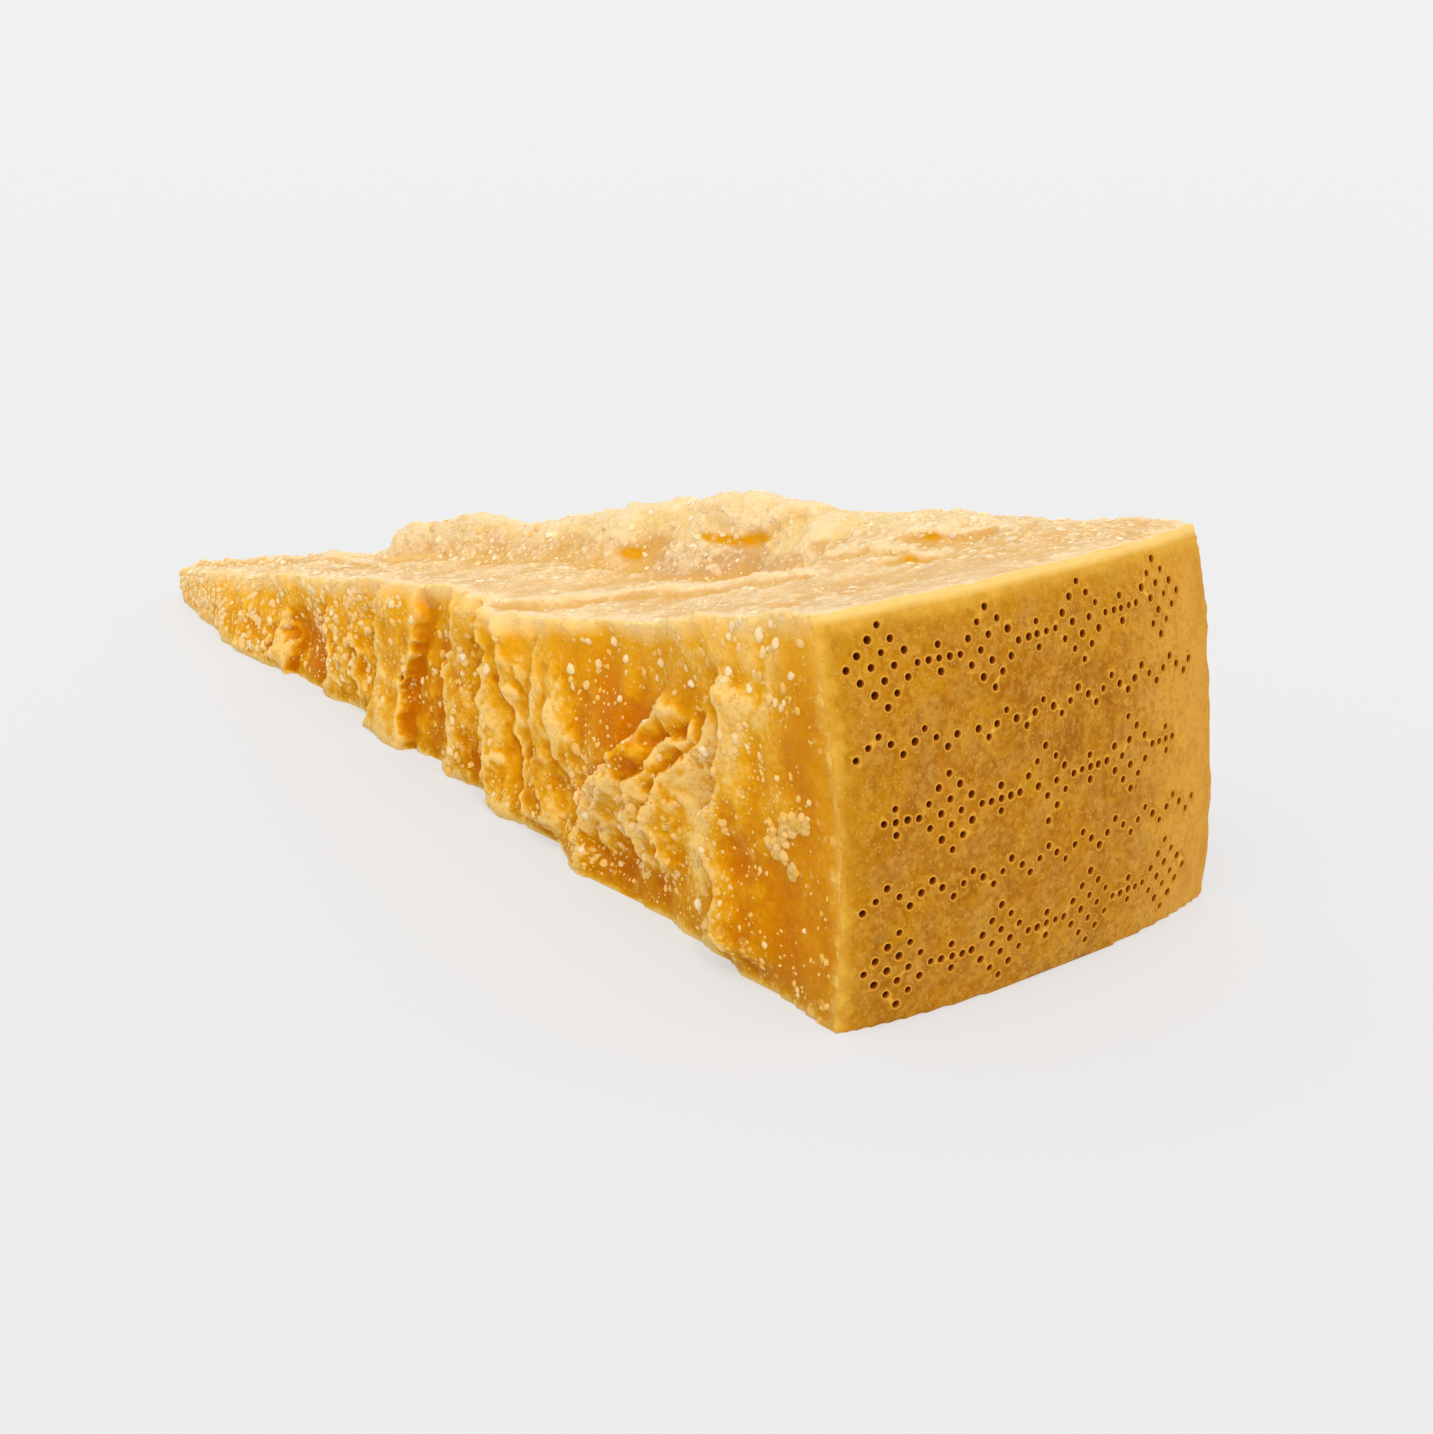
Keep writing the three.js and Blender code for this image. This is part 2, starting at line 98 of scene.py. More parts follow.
FAR_LEDGES = [
    ([(1, 70), (12, 68), (21, 71)], 2.2, 14, 0.8),
    ([(0, 94), (10, 91), (20, 93), (27, 90)], 1.9, 12, 1.0),
    ([(2, 114), (12, 111), (24, 113), (33, 116)], 2.6, 17, 1.4),
    ([(6, 131), (14, 135), (22, 142), (31, 146)], 2.2, 12, 1.2),
    ([(1, 152), (9, 148), (17, 151)], 1.8, 9, 1.0),
    ([(2, 168), (14, 172), (26, 169), (38, 172)], 2.6, 21, 1.4),
]


NEAR_FLAKES = [
    (20, 6, -12, 4, 8, 1.0), (33, 5, 8, 5, 7, 1.1), (44, 5, -20, 4, 6, 1.6),
    (184, 34, 12, 6, 8, 0.3), (190, 38, -8, 4, 6, 0.7), (184, 4, 30, 4, 6, 0.8),
]

NEAR_LUMPS = [
    (28, -1, 24, 10, 4.4), (55, 8, 6, 5, -2.0), (87, 0, 7, 5, 1.8), (100, 15, 5, 12, -1.2),
    (86, 16, 12, 14, -1.4), (122, 16, 16, 18, -0.9), (158, 22, 20, 15, -1.6), (152, 30, 13, 7, -2.4),
    (161, 17, 13, 8, 2.6), (155, 5, 9, 3.5, -1.8), (180, 22, 9, 14, -1.4), (127, 0, 4, 5, 1.9),
    (150, 0, 8, 4, 1.8), (168, 0, 5, 4, 0.8), (206, 20, 15, 15, -0.8), (206, 46, 12, 12, 0.7),
]

FAR_FLAKES = [
    (28, 6, 6, 5, 8, 1.2), (50, 8, -10, 6, 8, 1.5), (128, 8, 12, 6, 8, 1.2), (190, 12, -14, 7, 9, 0.9),
]

FAR_LUMPS = [
    (25, 0, 24, 10, 2.4), (84, 14, 7, 12, -2.0), (128, 26, 14, 11, -2.2), (160, 12, 9, 12, -2.0),
    (206, 44, 12, 12, 1.0),
]

# On the top, a ledge's line is made of (x, y) places, and its high side is the far one.
TOP_LEDGES = [
    ([(118, -17.3), (130, -14), (140, -9.5), (150, -6), (166, -4)], 1.2, 12, 0.3),
    ([(113, 7), (117, 8), (121, 9.5)], 0.8, 7, 0.4),
    ([(129, 10.8), (135, 11), (141, 12.2), (145, 14.5)], 1.6, 8, 0.5),
    ([(169, 11), (174, 13), (178, 16)], 0.7, 6, 0.7),
    ([(172, 5), (178, 6.5)], 0.6, 5, 0.5),
    ([(30, 1), (44, 3), (58, 2)], 0.6, 8, 0.2),
    ([(150, 9), (160, 6), (172, 7)], 0.8, 9, 0.3),
]

# On the top, the second number is the place across, from -1 at the near edge to 1 at the far one.
TOP_LUMPS = [
    (138, 0.22, 19, 0.42, -2.6), (141, 0.36, 11, 0.2, -1.7), (122, 0.45, 9, 0.22, -1.2),
    (84, -0.1, 12, 0.5, -0.6), (170, 0.55, 13, 0.4, 0.7), (182, -0.25, 9, 0.35, -0.7), (40, 0.3, 7, 0.6, 0.7),
]

BANK_HEIGHTS = [
    (-3, 1.2), (30, 1.5), (49, 1.0), (54, 1.8), (59, 6.4), (70, 7.6), (80, 6.6), (92, 5.4), (104, 5.8),
    (115, 7.6), (128, 7.8), (139, 6.6), (150, 4.9), (162, 3.4), (180, 2.0), (192, 1.1), (200, 0), (220, 0),
]
BANK_FOOT = (0.5, 0.22)
BANK_BROW = (0.92, 0.74)
BANK_TURN = (66, 108)
BANK_CREST = 0.8
BANK_BACK = 0.25
NEAR_DIP = {"start": 104, "full": 128, "turn": 150, "end": 197, "reach": (-0.45, 0.9), "depth": 3.2}

# Waves of the broad unevenness: (size, rate along, rate up, shift of their start), and of the ragged
# edges: (size, rate).
SWELL_WAVES = [(0.55, 0.21, 0.05, 1), (0.4, 0.47, -0.13, 2.1), (0.3, 0.12, 0.39, 3.7),
               (0.22, 0.83, 0.31, 5.3)]
RAGGED_LEDGE = [(0.3, 1.3), (0.05, 3.1)]
RAGGED_FLAKE = [(0.5, 1.1), (0.2, 2.3)]
BANK_WAVES = [(0.05, 0.35)]
SWELL = 0.8
TOP_SWELL = 0.4
NEAR_PHASE = 0.7
FAR_PHASE = 2.9
TOP_PHASE = 4.4
TOP_TEMPO = 0.3

TIP_CALM = (-4, 26)
RIND_CALM = 0.8
RIND_CALM_REACH = (WHEEL_RADIUS - 22, WHEEL_RADIUS - 4)
LEDGE_EDGE = 1.0
LEDGE_FADE = 3
HOLLOW_REACH = 3.2
FLAKE_EDGE = 0.8
FLAKE_END = 0.65
# Flakes strewn at random: how many, from where to where, and the spans of their turn, half, run and rise.
STREWN_FLAKES = 46
STREWN_ALONG = (8, 191)
STREWN_SPANS = ((-38, 38), (2.5, 6), (3, 7), (0.4, 1.1))
NEAR_STREWN = 0.5

# The crags' lines wander by a noise, and chips have broken out of them: (size, seed).
WANDER = 0.9
WANDER_ALONG = (5.5, 41)
WANDER_UP = (5.5, 43)
CHIP = 2.0
CHIP_CELLS = (2.7, 45)

# Where the near side is smooth, no strewn flakes: (from along, to along, from up, to up).
NEAR_QUIET = [(138, 150, 12, 45), (150, 172, 22, 45), (180, 202, 8, 45)]

# Painted shadow: in the undercuts under the bank's brow the top is painted a deeper yellow, as if in shade:
# (x, y, z).
UNDERCUTS = [(131.2, 10.3, 35.4), (133.5, 10.9, 35.4), (136, 11.2, 35.7), (138.2, 11.8, 36.1),
             (140.2, 12.3, 36.8), (116.9, 7.3, 30.7), (118, 8.1, 31), (172, 12.3, 43.1), (174.5, 6.2, 41.7)]
UNDERCUT_SHADOW_REACH = (1.8, 1.0, 0.65)

# Where the near side is paler or a deeper amber than its relief makes it: partly the paste's own tone, partly
# painted light and shade, with hollows that lie in shade painted brighter and corners by the base painted
# darker as if shadowed: (along, up, wide, tall, tone).
NEAR_TONE_AND_LIGHT = [
    (203, 12, 3, 9, -0.18), (197.5, 31, 3, 12, -0.3), (195, 5, 7, 3.5, -0.22), (190.8, 37, 2.6, 9, 0.24),
    (188, 9, 9, 7, -0.14), (186, 39, 11, 6, 0.26), (186, 28, 3.2, 6, 0.42), (184, 4, 5, 3, -0.15),
    (181, 32, 6, 4, 0.06), (176.3, 18, 4, 5, 0.46), (174, 14, 4, 12, 0.2), (170, 29, 3.5, 3.5, -0.26),
    (167, 24, 5, 6, 0.2), (165, 21, 3.5, 3, -0.15), (161, 20.4, 3.4, 3.2, -0.38), (161, 12, 12, 9, 0.2),
    (159, 1.5, 11, 2.8, -0.42), (158.5, 21.5, 4, 3.5, -0.46), (158, 12.7, 4, 4, 0.2), (152, 21, 6, 6, -0.38),
    (150.3, 7.5, 4, 4.5, 0.28), (147, 26, 7, 7, -0.12), (142, 20, 4, 4, 0.24), (141, 6.5, 3, 3, 0.1),
    (136, 19, 4, 8, 0.1), (134.3, 6.5, 3, 4.5, -0.22), (123.5, 12, 4, 9, 0.15), (121, 5, 6, 4, -0.12),
    (113, 2.5, 3, 4, -0.3), (109.5, 13, 4, 5, -0.16), (100.5, 9, 2, 7, -0.28), (93.3, 7, 2.4, 7, -0.28),
    (87.5, 2, 5, 4, 0.24), (85, 9, 2.2, 6, 0.26), (60.5, 13, 3, 4, -0.34), (57.8, 5.5, 4.2, 6, -0.6),
    (48, 7, 3, 4, 0.14), (38, 5, 4, 3.5, -0.16), (27, 6, 6, 3, -0.16), (20, 1.5, 10, 1.5, 0.12),
]

# The same on the top: (x, y, long, broad, tone).
TOP_TONES = [
    (173, -14, 12, 5, 0.14), (150, -8, 10, 4, 0.19), (132, -11, 9, 4, 0.19), (124.5, 7.5, 3.5, 2.5, 0.3),
    (64, 7, 8, 4, 0.3),
]

RANDOM_STEP = 0x6D2B79F5
WORD = 2 ** 32


def lerp(a, b, part):
    return a + (b - a) * part


def ease(value, low, high):
    part = np.clip((value - low) / (high - low), 0, 1)
    return part * part * (3 - 2 * part)


def random_numbers(state):
    """The same small generator as the solid's, so that the same crags come out."""
    while True:
        state = (state + RANDOM_STEP) % WORD
        mixed = (state ^ state >> 15) * (state | 1) % WORD
        mixed ^= (mixed + (mixed ^ mixed >> 7) * (mixed | 61)) % WORD
        yield (mixed ^ mixed >> 14) / WORD


def tip_round(x):
    part = np.clip((x - TIP_X) / TIP_ROUND, 0, 1)
    return np.sqrt(1 - (1 - part) ** 2)


def base_height(x):
    slope = (RIND_HEIGHT - TIP_HEIGHT) / RIND_TOP_X
    return TIP_HEIGHT + slope * x - TIP_DROP * (1 - tip_round(x))


def half_width(x):
    cut = x * math.tan(HALF_ANGLE)
    return 0.5 * (cut + np.hypot(cut, 2 * TIP_BLUNT)) * lerp(TIP_NARROW, 1, tip_round(x))


def rind_x(y, z):
    mid = RIND_HEIGHT / 2
    barrel = RIND_BARREL * (1 - np.abs((z - mid) / mid) ** BARREL_POWER)
    bow = RIND_BOW * (1 - np.abs(y / half_width(WHEEL_RADIUS)) ** BOW_POWER)
    return np.sqrt(WHEEL_RADIUS ** 2 - y ** 2) - z * math.tan(RIND_LEAN) + barrel + bow


def ripple(waves, distance, *starts):
    return sum(size * np.sin(distance * rate + start) for (size, rate), start in zip(waves, starts))


def scatter_flakes(seed, part=1):
    """Flakes strewn over a face, at a part of their full rise."""
    draw = random_numbers(seed).__next__
    flakes = []
    for _ in range(STREWN_FLAKES):
        along = lerp(*STREWN_ALONG, math.sqrt(draw()))
        up = draw() * base_height(along)
        turn, half, run, rise = (lerp(*span, draw()) for span in STREWN_SPANS)
        flakes.append((along, up, turn, half, run, part * rise))
    return flakes


def flake_relief(flake, along, up):
    place, height, turn, half, run, rise = flake
    turn = math.radians(turn)
    d_along = along - place
    d_up = up - height
    on_edge = d_up * math.cos(turn) - d_along * math.sin(turn)
    ragged = ripple(RAGGED_FLAKE, on_edge, place, height)
    past = d_along * math.cos(turn) + d_up * math.sin(turn) + ragged
    ends = 1 - ease(np.abs(on_edge) / half, FLAKE_END, 1)
    inside = (past > 0) & (past < run)
    return np.where(inside, rise * ends * ease(past, 0, FLAKE_EDGE) * (1 - past / run), 0)


def ledge_relief(ledge, along, up, tempo=1):
    line, rise, run, hollow = ledge
    heights = [height for height, _ in line]
    place = np.interp(up, heights, [place for _, place in line])
    ragged = ripple(RAGGED_LEDGE, up * tempo, line[0][1], line[-1][1])
    past = math.copysign(1, run) * (along - place) + ragged
    ends = (ease(up, heights[0] - LEDGE_FADE, heights[0])
            * (1 - ease(up, heights[-1], heights[-1] + LEDGE_FADE)))
    before = -hollow * np.exp(np.minimum(past, 0) / HOLLOW_REACH)
    after = lerp(-hollow, rise * np.clip(1 - past / abs(run), 0, 1), ease(past, 0, LEDGE_EDGE))
    return ends * np.where(past < 0, before, after)


def lump_relief(lump, along, up):
    place, height, wide, tall, rise = lump
    return rise * np.exp(-((along - place) / wide) ** 2 - ((up - height) / tall) ** 2)


def patches(lumps, along, up):
    return sum(lump_relief(lump, along, up) for lump in lumps)


def swell(along, up, phase):
    return sum(size * np.sin(along * rate + up * lean + phase * shift)
               for size, rate, lean, shift in SWELL_WAVES)


def calm(along):
    """The relief dies out at the rind, whose edges were sawn, and is less at the thin tip."""
    return ease(along, *TIP_CALM) * (1 - RIND_CALM * ease(along, *RIND_CALM_REACH))


def side_relief(ledges, flakes, lumps, phase, along, up, chips):
    """The chips push the ledges' edges about, as grains that have broken out of them do."""
    relief = swell(along, up, phase) * SWELL
    for ledge in ledges:
        relief = relief + ledge_relief(ledge, along + chips, up)
    for flake in flakes:
        relief = relief + flake_relief(flake, along + chips, up)
    relief = relief * calm(along)
    for lump in lumps:
        relief = relief + lump_relief(lump, along, up)
    return relief


def bank_height(x):
    height = np.zeros_like(x)
    for (x0, low), (x1, high) in zip(BANK_HEIGHTS, BANK_HEIGHTS[1:]):
        height = np.where((x >= x0) & (x < x1), lerp(low, high, ease(x, x0, x1)), height)
    return height


def bank_face(x, across):
    turn = ease(x, *BANK_TURN)
    wavy = across + ripple(BANK_WAVES, x, 0)
    return ease(wavy, lerp(*BANK_FOOT, turn), lerp(*BANK_BROW, turn))


def bank_relief(x, across):
    back = 1 - BANK_BACK * ease(across, BANK_CREST, 1)
    return bank_height(x) * bank_face(x, across) * back


def top_relief(x, across):
    dip = (ease(x, NEAR_DIP["start"], NEAR_DIP["full"])
           * (1 - ease(x, NEAR_DIP["turn"], NEAR_DIP["end"])))
    relief = bank_relief(x, across) - NEAR_DIP["depth"] * dip * ease(-across, *NEAR_DIP["reach"])
    for lump in TOP_LUMPS:
        relief = relief + lump_relief(lump, x, across)
    for ledge in TOP_LEDGES:
        relief = relief + ledge_relief(ledge, across * half_width(x), x, TOP_TEMPO)
    return relief + TOP_SWELL * calm(x) * swell(x, across * half_width(x), TOP_PHASE)


def top_height(x, across):
    return base_height(x) + top_relief(x, across)


def across_share(x, y):
    return np.clip(y / half_width(x), -1, 1)


def skin_points(u, across, v):
    """Points of the skin at part u of the length, across from -1 to 1, and part v of the height."""
    near_flakes = NEAR_FLAKES + [
        flake for flake in scatter_flakes(SEED, NEAR_STREWN)
        if not any(start < flake[0] < end and low < flake[1] < high for start, end, low, high in NEAR_QUIET)
    ]
    far_flakes = FAR_FLAKES + scatter_flakes(SEED + 1)
    rind = rind_x(across * half_width(WHEEL_RADIUS), v * RIND_HEIGHT)
    x = lerp(TIP_X + TIP_CUT * (1 - v), rind, u)
    half = half_width(x)
    y = across * half
    z = v * top_height(x, across)
    places = np.stack([x, y, z], axis=1)
    along = x / math.cos(HALF_ANGLE) + WANDER * soft_noise(places, *WANDER_ALONG)
    up = z + WANDER * soft_noise(places, *WANDER_UP)
    _, number = grains(places, *CHIP_CELLS)
    chips = CHIP * (number - 0.5)
    near = side_relief(NEAR_LEDGES, near_flakes, NEAR_LUMPS, NEAR_PHASE, along, up, chips)
    far = side_relief(FAR_LEDGES, far_flakes, FAR_LUMPS, FAR_PHASE, along, up, chips)
    near = near * np.exp(-(half + y) / EDGE_REACH)
    far = far * np.exp(-(half - y) / EDGE_REACH)
    lengthwise = -(near + far) * math.sin(HALF_ANGLE) * (1 - ease(u, RIND_START, 1))
    return np.stack([x + lengthwise, y + (far - near) * math.cos(HALF_ANGLE), z], axis=1)


# ---- noise ----

LATTICE_PRIMES = np.array([73856093, 19349663, 83492791], dtype=np.int64)
LATTICE_MIX = ((15, 2246822519), (13, 3266489917))
SEED_STRIDE = 97561
LOW_WORD = np.uint64(WORD - 1)


def lattice(cells, seed):
    """Even random numbers from 0 to 1, one for each whole-number place."""
    places = (cells.astype(np.int64) * LATTICE_PRIMES).sum(axis=-1) + seed * SEED_STRIDE
    mixed = places.astype(np.uint64) & LOW_WORD
    for bits, factor in LATTICE_MIX:
        mixed ^= mixed >> np.uint64(bits)
        mixed = (mixed * np.uint64(factor)) & LOW_WORD
    return (mixed ^ (mixed >> np.uint64(16))) / WORD


def soft_noise(points, size, seed):
    """Smooth noise from -1 to 1, with bumps of about the size given."""
    cell = points / size
    base = np.floor(cell)
    part = cell - base
    part = part * part * (3 - 2 * part)
    total = 0
    for corner in product((0, 1), repeat=3):
        weight = np.prod(np.where(np.array(corner), part, 1 - part), axis=1)
        total = total + weight * lattice(base + corner, seed)
    return 2 * total - 1


def grains(points, size, seed):
    """How far each point is from the middle of the nearest grain, in grain sizes, and that grain's number."""
    cell = points / size
    base = np.floor(cell)
    nearest = np.full(len(points), 9.0)
    number = np.zeros(len(points))
    for offset in product((-1, 0, 1), repeat=3):
        place = base + offset
        middle = place + np.stack([lattice(place, seed + axis) for axis in range(3)], axis=1)
        distance = np.linalg.norm(cell - middle, axis=1)
        nearer = distance < nearest
        nearest = np.where(nearer, distance, nearest)
        number = np.where(nearer, lattice(place, seed + 3), number)
    return nearest, number


# ---- tools for making pieces ----

def fresh(add, **how):
    """Adds a primitive with nothing else selected."""
    bpy.ops.object.select_all(action="DESELECT")
    add(**how)
    return bpy.context.object


def discard(piece):
    mesh = piece.data
    bpy.data.objects.remove(piece)
    bpy.data.meshes.remove(mesh)


def select_only(piece):
    bpy.ops.object.select_all(action="DESELECT")
    piece.select_set(True)
    bpy.context.view_layer.objects.active = piece


def read(items, name, width=3, kind=np.float32):
    """One property of all of a mesh's vertices, edges or faces, in rows."""
    found = np.empty(len(items) * width, dtype=kind)
    items.foreach_get(name, found)
    rows = found.reshape(-1, width) if width > 1 else found
    return rows.astype(float) if kind == np.float32 else rows


def move_to(mesh, points):
    mesh.vertices.foreach_set("co", np.ascontiguousarray(points, dtype=np.float32).ravel())
    mesh.update()


def add_attribute(mesh, name, values):
    attribute = mesh.attributes.new(name, "FLOAT", "POINT")
    attribute.data.foreach_set("value", np.ascontiguousarray(values, dtype=np.float32))


def apply_modifier(piece, kind, **settings):
    modifier = piece.modifiers.new(kind.lower(), kind)
    for name, value in settings.items():
        setattr(modifier, name, value)
    select_only(piece)
    bpy.ops.object.modifier_apply(modifier=modifier.name)


def evened(mesh, values, rounds):
    """Values of the mesh's vertices, evened out with their neighbours' a number of times."""
    start, end = read(mesh.edges, "vertices", 2, np.int32).T
    count = len(values)
    neighbours = np.bincount(start, minlength=count) + np.bincount(end, minlength=count)
    columns = values.T
    for _ in range(rounds):
        columns = [
            (np.bincount(start, column[end], count) + np.bincount(end, column[start], count)) / neighbours
            for column in columns
        ]
    return np.stack(columns, axis=1)


def gridded_block(steps):
    """A cube whose edges are divided, steps = for each axis the cuts of each round."""
    block = fresh(bpy.ops.mesh.primitive_cube_add, size=2)
    bpy.ops.object.mode_set(mode="EDIT")
    bpy.ops.mesh.select_mode(type="EDGE")
    for axis, rounds in enumerate(steps):
        for cuts in rounds:
            bpy.ops.mesh.select_all(action="DESELECT")
            mesh = bmesh.from_edit_mesh(block.data)
            for edge in mesh.edges:
                start, end = edge.verts
                if abs(start.co[axis] - end.co[axis]) > 1e-6:
                    edge.select_set(True)
            bpy.ops.mesh.subdivide(number_cuts=cuts)
    bpy.ops.object.mode_set(mode="OBJECT")
    return block


# ---- the cheese ----

BLOCK_CUTS = [(19, 19), (9, 9), (8, 8)]
VOXEL = 0.43
RIND_SKIN = 0.7

# Where a place starts to belong to the top or the near side, and where it does so fully: by how much the
# skin faces that way, the bank's height, the way in from its edge and the way down its face.
TOP_TURN = (0.45, 0.85)
NEAR_TURN = (0.2, 0.6)
BANK_LIFT = (0.2, 1)
BANK_EDGE = (0.6, 2)
BANK_DEPTH = (1.5, 3)

# The dell in front of the bank: (x, y, long, broad, share).
DELL = (136, 8, 12, 3.8, 1)
GRAINY_FLAKES = (156, 11, 13, 9, 1)
GRAINY_TIP = (40, 120)

# Where a face is rougher, or less so, and where it is smooth, as the lumps are; and what else makes it rough:
# a noise, standing out, being at the back of the top, and the bank.
NEAR_ROUGH = [(160, 16, 16, 8, 0.2), (158, 33, 15, 6, -0.6), (190, 26, 10, 16, -0.65)]
TOP_ROUGH = [(136, 8, 20, 8, 0.9), (158, 9, 12, 6, 0.6)]
NEAR_SMOOTH = [(152, 28, 13, 9, 1), (190, 26, 9, 15, 1)]
ROUGH = {"noise": 0.6, "standing": 0.6, "back": 0.6, "bank": 0.3}
ROUGH_STANDING = (-0.6, 1)
ROUGH_BACK = (2, 8)
ROUGH_BANK = (0.6, 3)
ROUGH_SPAN = (-0.4, 0.6)
SMOOTH_SHARE = 0.75

# The noises that the skin is made of: (size, seed).
ROUGH_NOISE = (12, 1)
KNOB_BEND = (2.3, 2)
KNOBS = (2.5, 3)
BEAD_BEND = (1.1, 5)
BEADS = (1.25, 9)
LUMPS = (5.2, 14)
RIDGES = (3.4, 15)
FINE_GRAIN = (1.2, 21)
RIND_EDGE_WEAR = (2.6, 51)
RIDGE_SQUASH = (1, 1, 0.55)
KNOB_PUSH = 0.9
KNOB_REACH = 0.78
KNOB_RISES = (0.1, 1)
BEAD_PUSH = 0.3
BEAD_REACH = (0.1, 0.65)
BEAD_RISES = (0.4, 0.9)

# How far each kind of form stands out, on the smoothest skin and on the roughest where there are two.
RISE = {"knob": 0.36, "gap": 0.16, "bead": 0.26, "ridge": 0.12, "lump": (0.12, 0.26), "grain": 0.035,
        "wear": 0.2}
COARSE = (0.22, 1)
TOP_COARSE = 1.25
FOOT = (0.2, 1.6)
FROM_RIND = (0.4, 2.2)
WEAR_DEPTH = (0.6, 3)
WEAR_STANDING = (-0.2, 1.1)
BROAD_SHARE = 0.5
EVEN_FACE = 50
EVEN_SIDE = 120


def wheel_places(mesh):
    """The vertices in the wheel's millimetres."""
    return read(mesh.vertices, "co") / MM - shift


def rind_depth(points):
    return rind_x(points[:, 1], points[:, 2]) - points[:, 0]


def make_form():
    body = gridded_block(BLOCK_CUTS)
    body.name = "cheese_body"
    part = read(body.data.vertices, "co")
    points = skin_points((part[:, 0] + 1) / 2, part[:, 1], (part[:, 2] + 1) / 2)
    middle = (points.min(axis=0) + points.max(axis=0)) / 2
    offset = np.array([-middle[0], -middle[1], 0])
    move_to(body.data, (points + offset) * MM)
    apply_modifier(body, "REMESH", mode="VOXEL", voxel_size=VOXEL * MM)
    return body, offset


def top_share(points, upward):
    """How much a place belongs to the top, whose bank has a steep face as well."""
    x, y, z = points.T
    across = across_share(x, y)
    on_bank = (ease(bank_relief(x, across), *BANK_LIFT) * ease(half_width(x) - y, *BANK_EDGE)
               * (1 - ease(top_height(x, across) - z, *BANK_DEPTH)))
    return np.maximum(ease(upward, *TOP_TURN), on_bank)


def grainy_share(x, z):
    """The near side is full of pale grains by the flakes and towards the tip."""
    return np.clip(lump_relief(GRAINY_FLAKES, x, z) + 1 - ease(x, *GRAINY_TIP), 0, 1)


def undercut_shadow_share(points):
    return sum(np.exp(-(((points - place) / UNDERCUT_SHADOW_REACH) ** 2).sum(axis=1)) for place in UNDERCUTS)


def above(points, even, outward):
    """How far places stand out from where evening out would move them."""
    return ((points - even) * outward).sum(axis=1)


def knobs_and_beads(points):
    """Grains of two sizes that stand out, and ridges between them."""
    far, number = grains(points + KNOB_PUSH * soft_noise(points, *KNOB_BEND)[:, None], *KNOBS)
    knobs = np.clip(1 - (far / KNOB_REACH) ** 2, 0, 1) * lerp(*KNOB_RISES, number)
    far, number = grains(points + BEAD_PUSH * soft_noise(points, *BEAD_BEND)[:, None], *BEADS)
    beads = (1 - ease(far, *BEAD_REACH)) * ease(number, *BEAD_RISES)
    ridges = 1 - 2 * np.abs(soft_noise(points * RIDGE_SQUASH, *RIDGES))
    return RISE["knob"] * knobs - RISE["gap"] + RISE["bead"] * beads + RISE["ridge"] * ridges


def crumble(mesh):
    """Breaks the faces up into knobs, grains and pits; the rind and the base stay as they are."""
    points = wheel_places(mesh)
    outward = read(mesh.vertex_normals, "vector")
    x, y, z = points.T
    face = evened(mesh, points, EVEN_FACE)
    standing = above(points, face, outward)
    broad = above(points, evened(mesh, face, EVEN_SIDE), outward)
    depth = rind_depth(points)
    above_base = ease(z, *FOOT)
    broken = ease(depth, *FROM_RIND) * above_base
    on_top = top_share(points, outward[:, 2])
    on_near = ease(-outward[:, 1], *NEAR_TURN) * (1 - on_top)
    bank = ease(bank_relief(x, across_share(x, y)), *ROUGH_BANK)
    top_rough = patches(TOP_ROUGH, x, y) + ROUGH["back"] * ease(y, *ROUGH_BACK) + ROUGH["bank"] * bank
    rough = (ROUGH["noise"] * soft_noise(points, *ROUGH_NOISE)
             + ROUGH["standing"] * np.clip(standing, *ROUGH_STANDING)
             + on_near * patches(NEAR_ROUGH, x, z) + on_top * top_rough)
    rough = ease(rough, *ROUGH_SPAN)
    strength = broken * lerp(*COARSE, rough) * lerp(1, TOP_COARSE, on_top)
    strength = strength * (1 - SMOOTH_SHARE * on_near * patches(NEAR_SMOOTH, x, z))
    relief = strength * knobs_and_beads(points)
    relief = relief + broken * lerp(*RISE["lump"], rough) * soft_noise(points, *LUMPS)
    relief = relief + RISE["grain"] * above_base * soft_noise(points, *FINE_GRAIN)
    by_rind = above_base * (1 - ease(depth, *WEAR_DEPTH)) * ease(standing, *WEAR_STANDING)
    relief = relief - RISE["wear"] * by_rind * (1 + soft_noise(points, *RIND_EDGE_WEAR))
    move_to(mesh, read(mesh.vertices, "co") + relief[:, None] * outward * MM)
    return standing + BROAD_SHARE * broad


# The crest is the mark of what stands out: its shares of the broad, middling and fine relief, and the
# rounds of evening out that the last two are taken against. It is calmer on the broken flakes. The paste
# paints it as light and shade: deep amber where the relief lies low, as painted shade, and pale where it
# stands out, as painted light.
CREST = {"broad": 0.21, "middling": 0.3, "fine": 0.9}
MIDDLING = 22
FINE = 5
CALM_FLAKES = (158, 12, 14, 10, 0.2)
EVEN_WAY = 12

# How far from an edge the marks of its nearness reach, and where the other marks start and are full.
UNDER_RIND = 20
UNDER_TOP = 10
RIND_RIM = 8
RIND_SIDES = (0.8, 2)
RIND_FAR_LIGHT = (2, 32)
DELL_MARK = (136, 8, 13.2, 3.8, 1)
DELL_END = (0.5, 0.6)
BANK_MARK = (0.46, 0.62)
BANK_MARK_HEIGHT = (1.5, 4)
BANK_FRAY = 0.12
BANK_FRAY_NOISE = (4, 61)


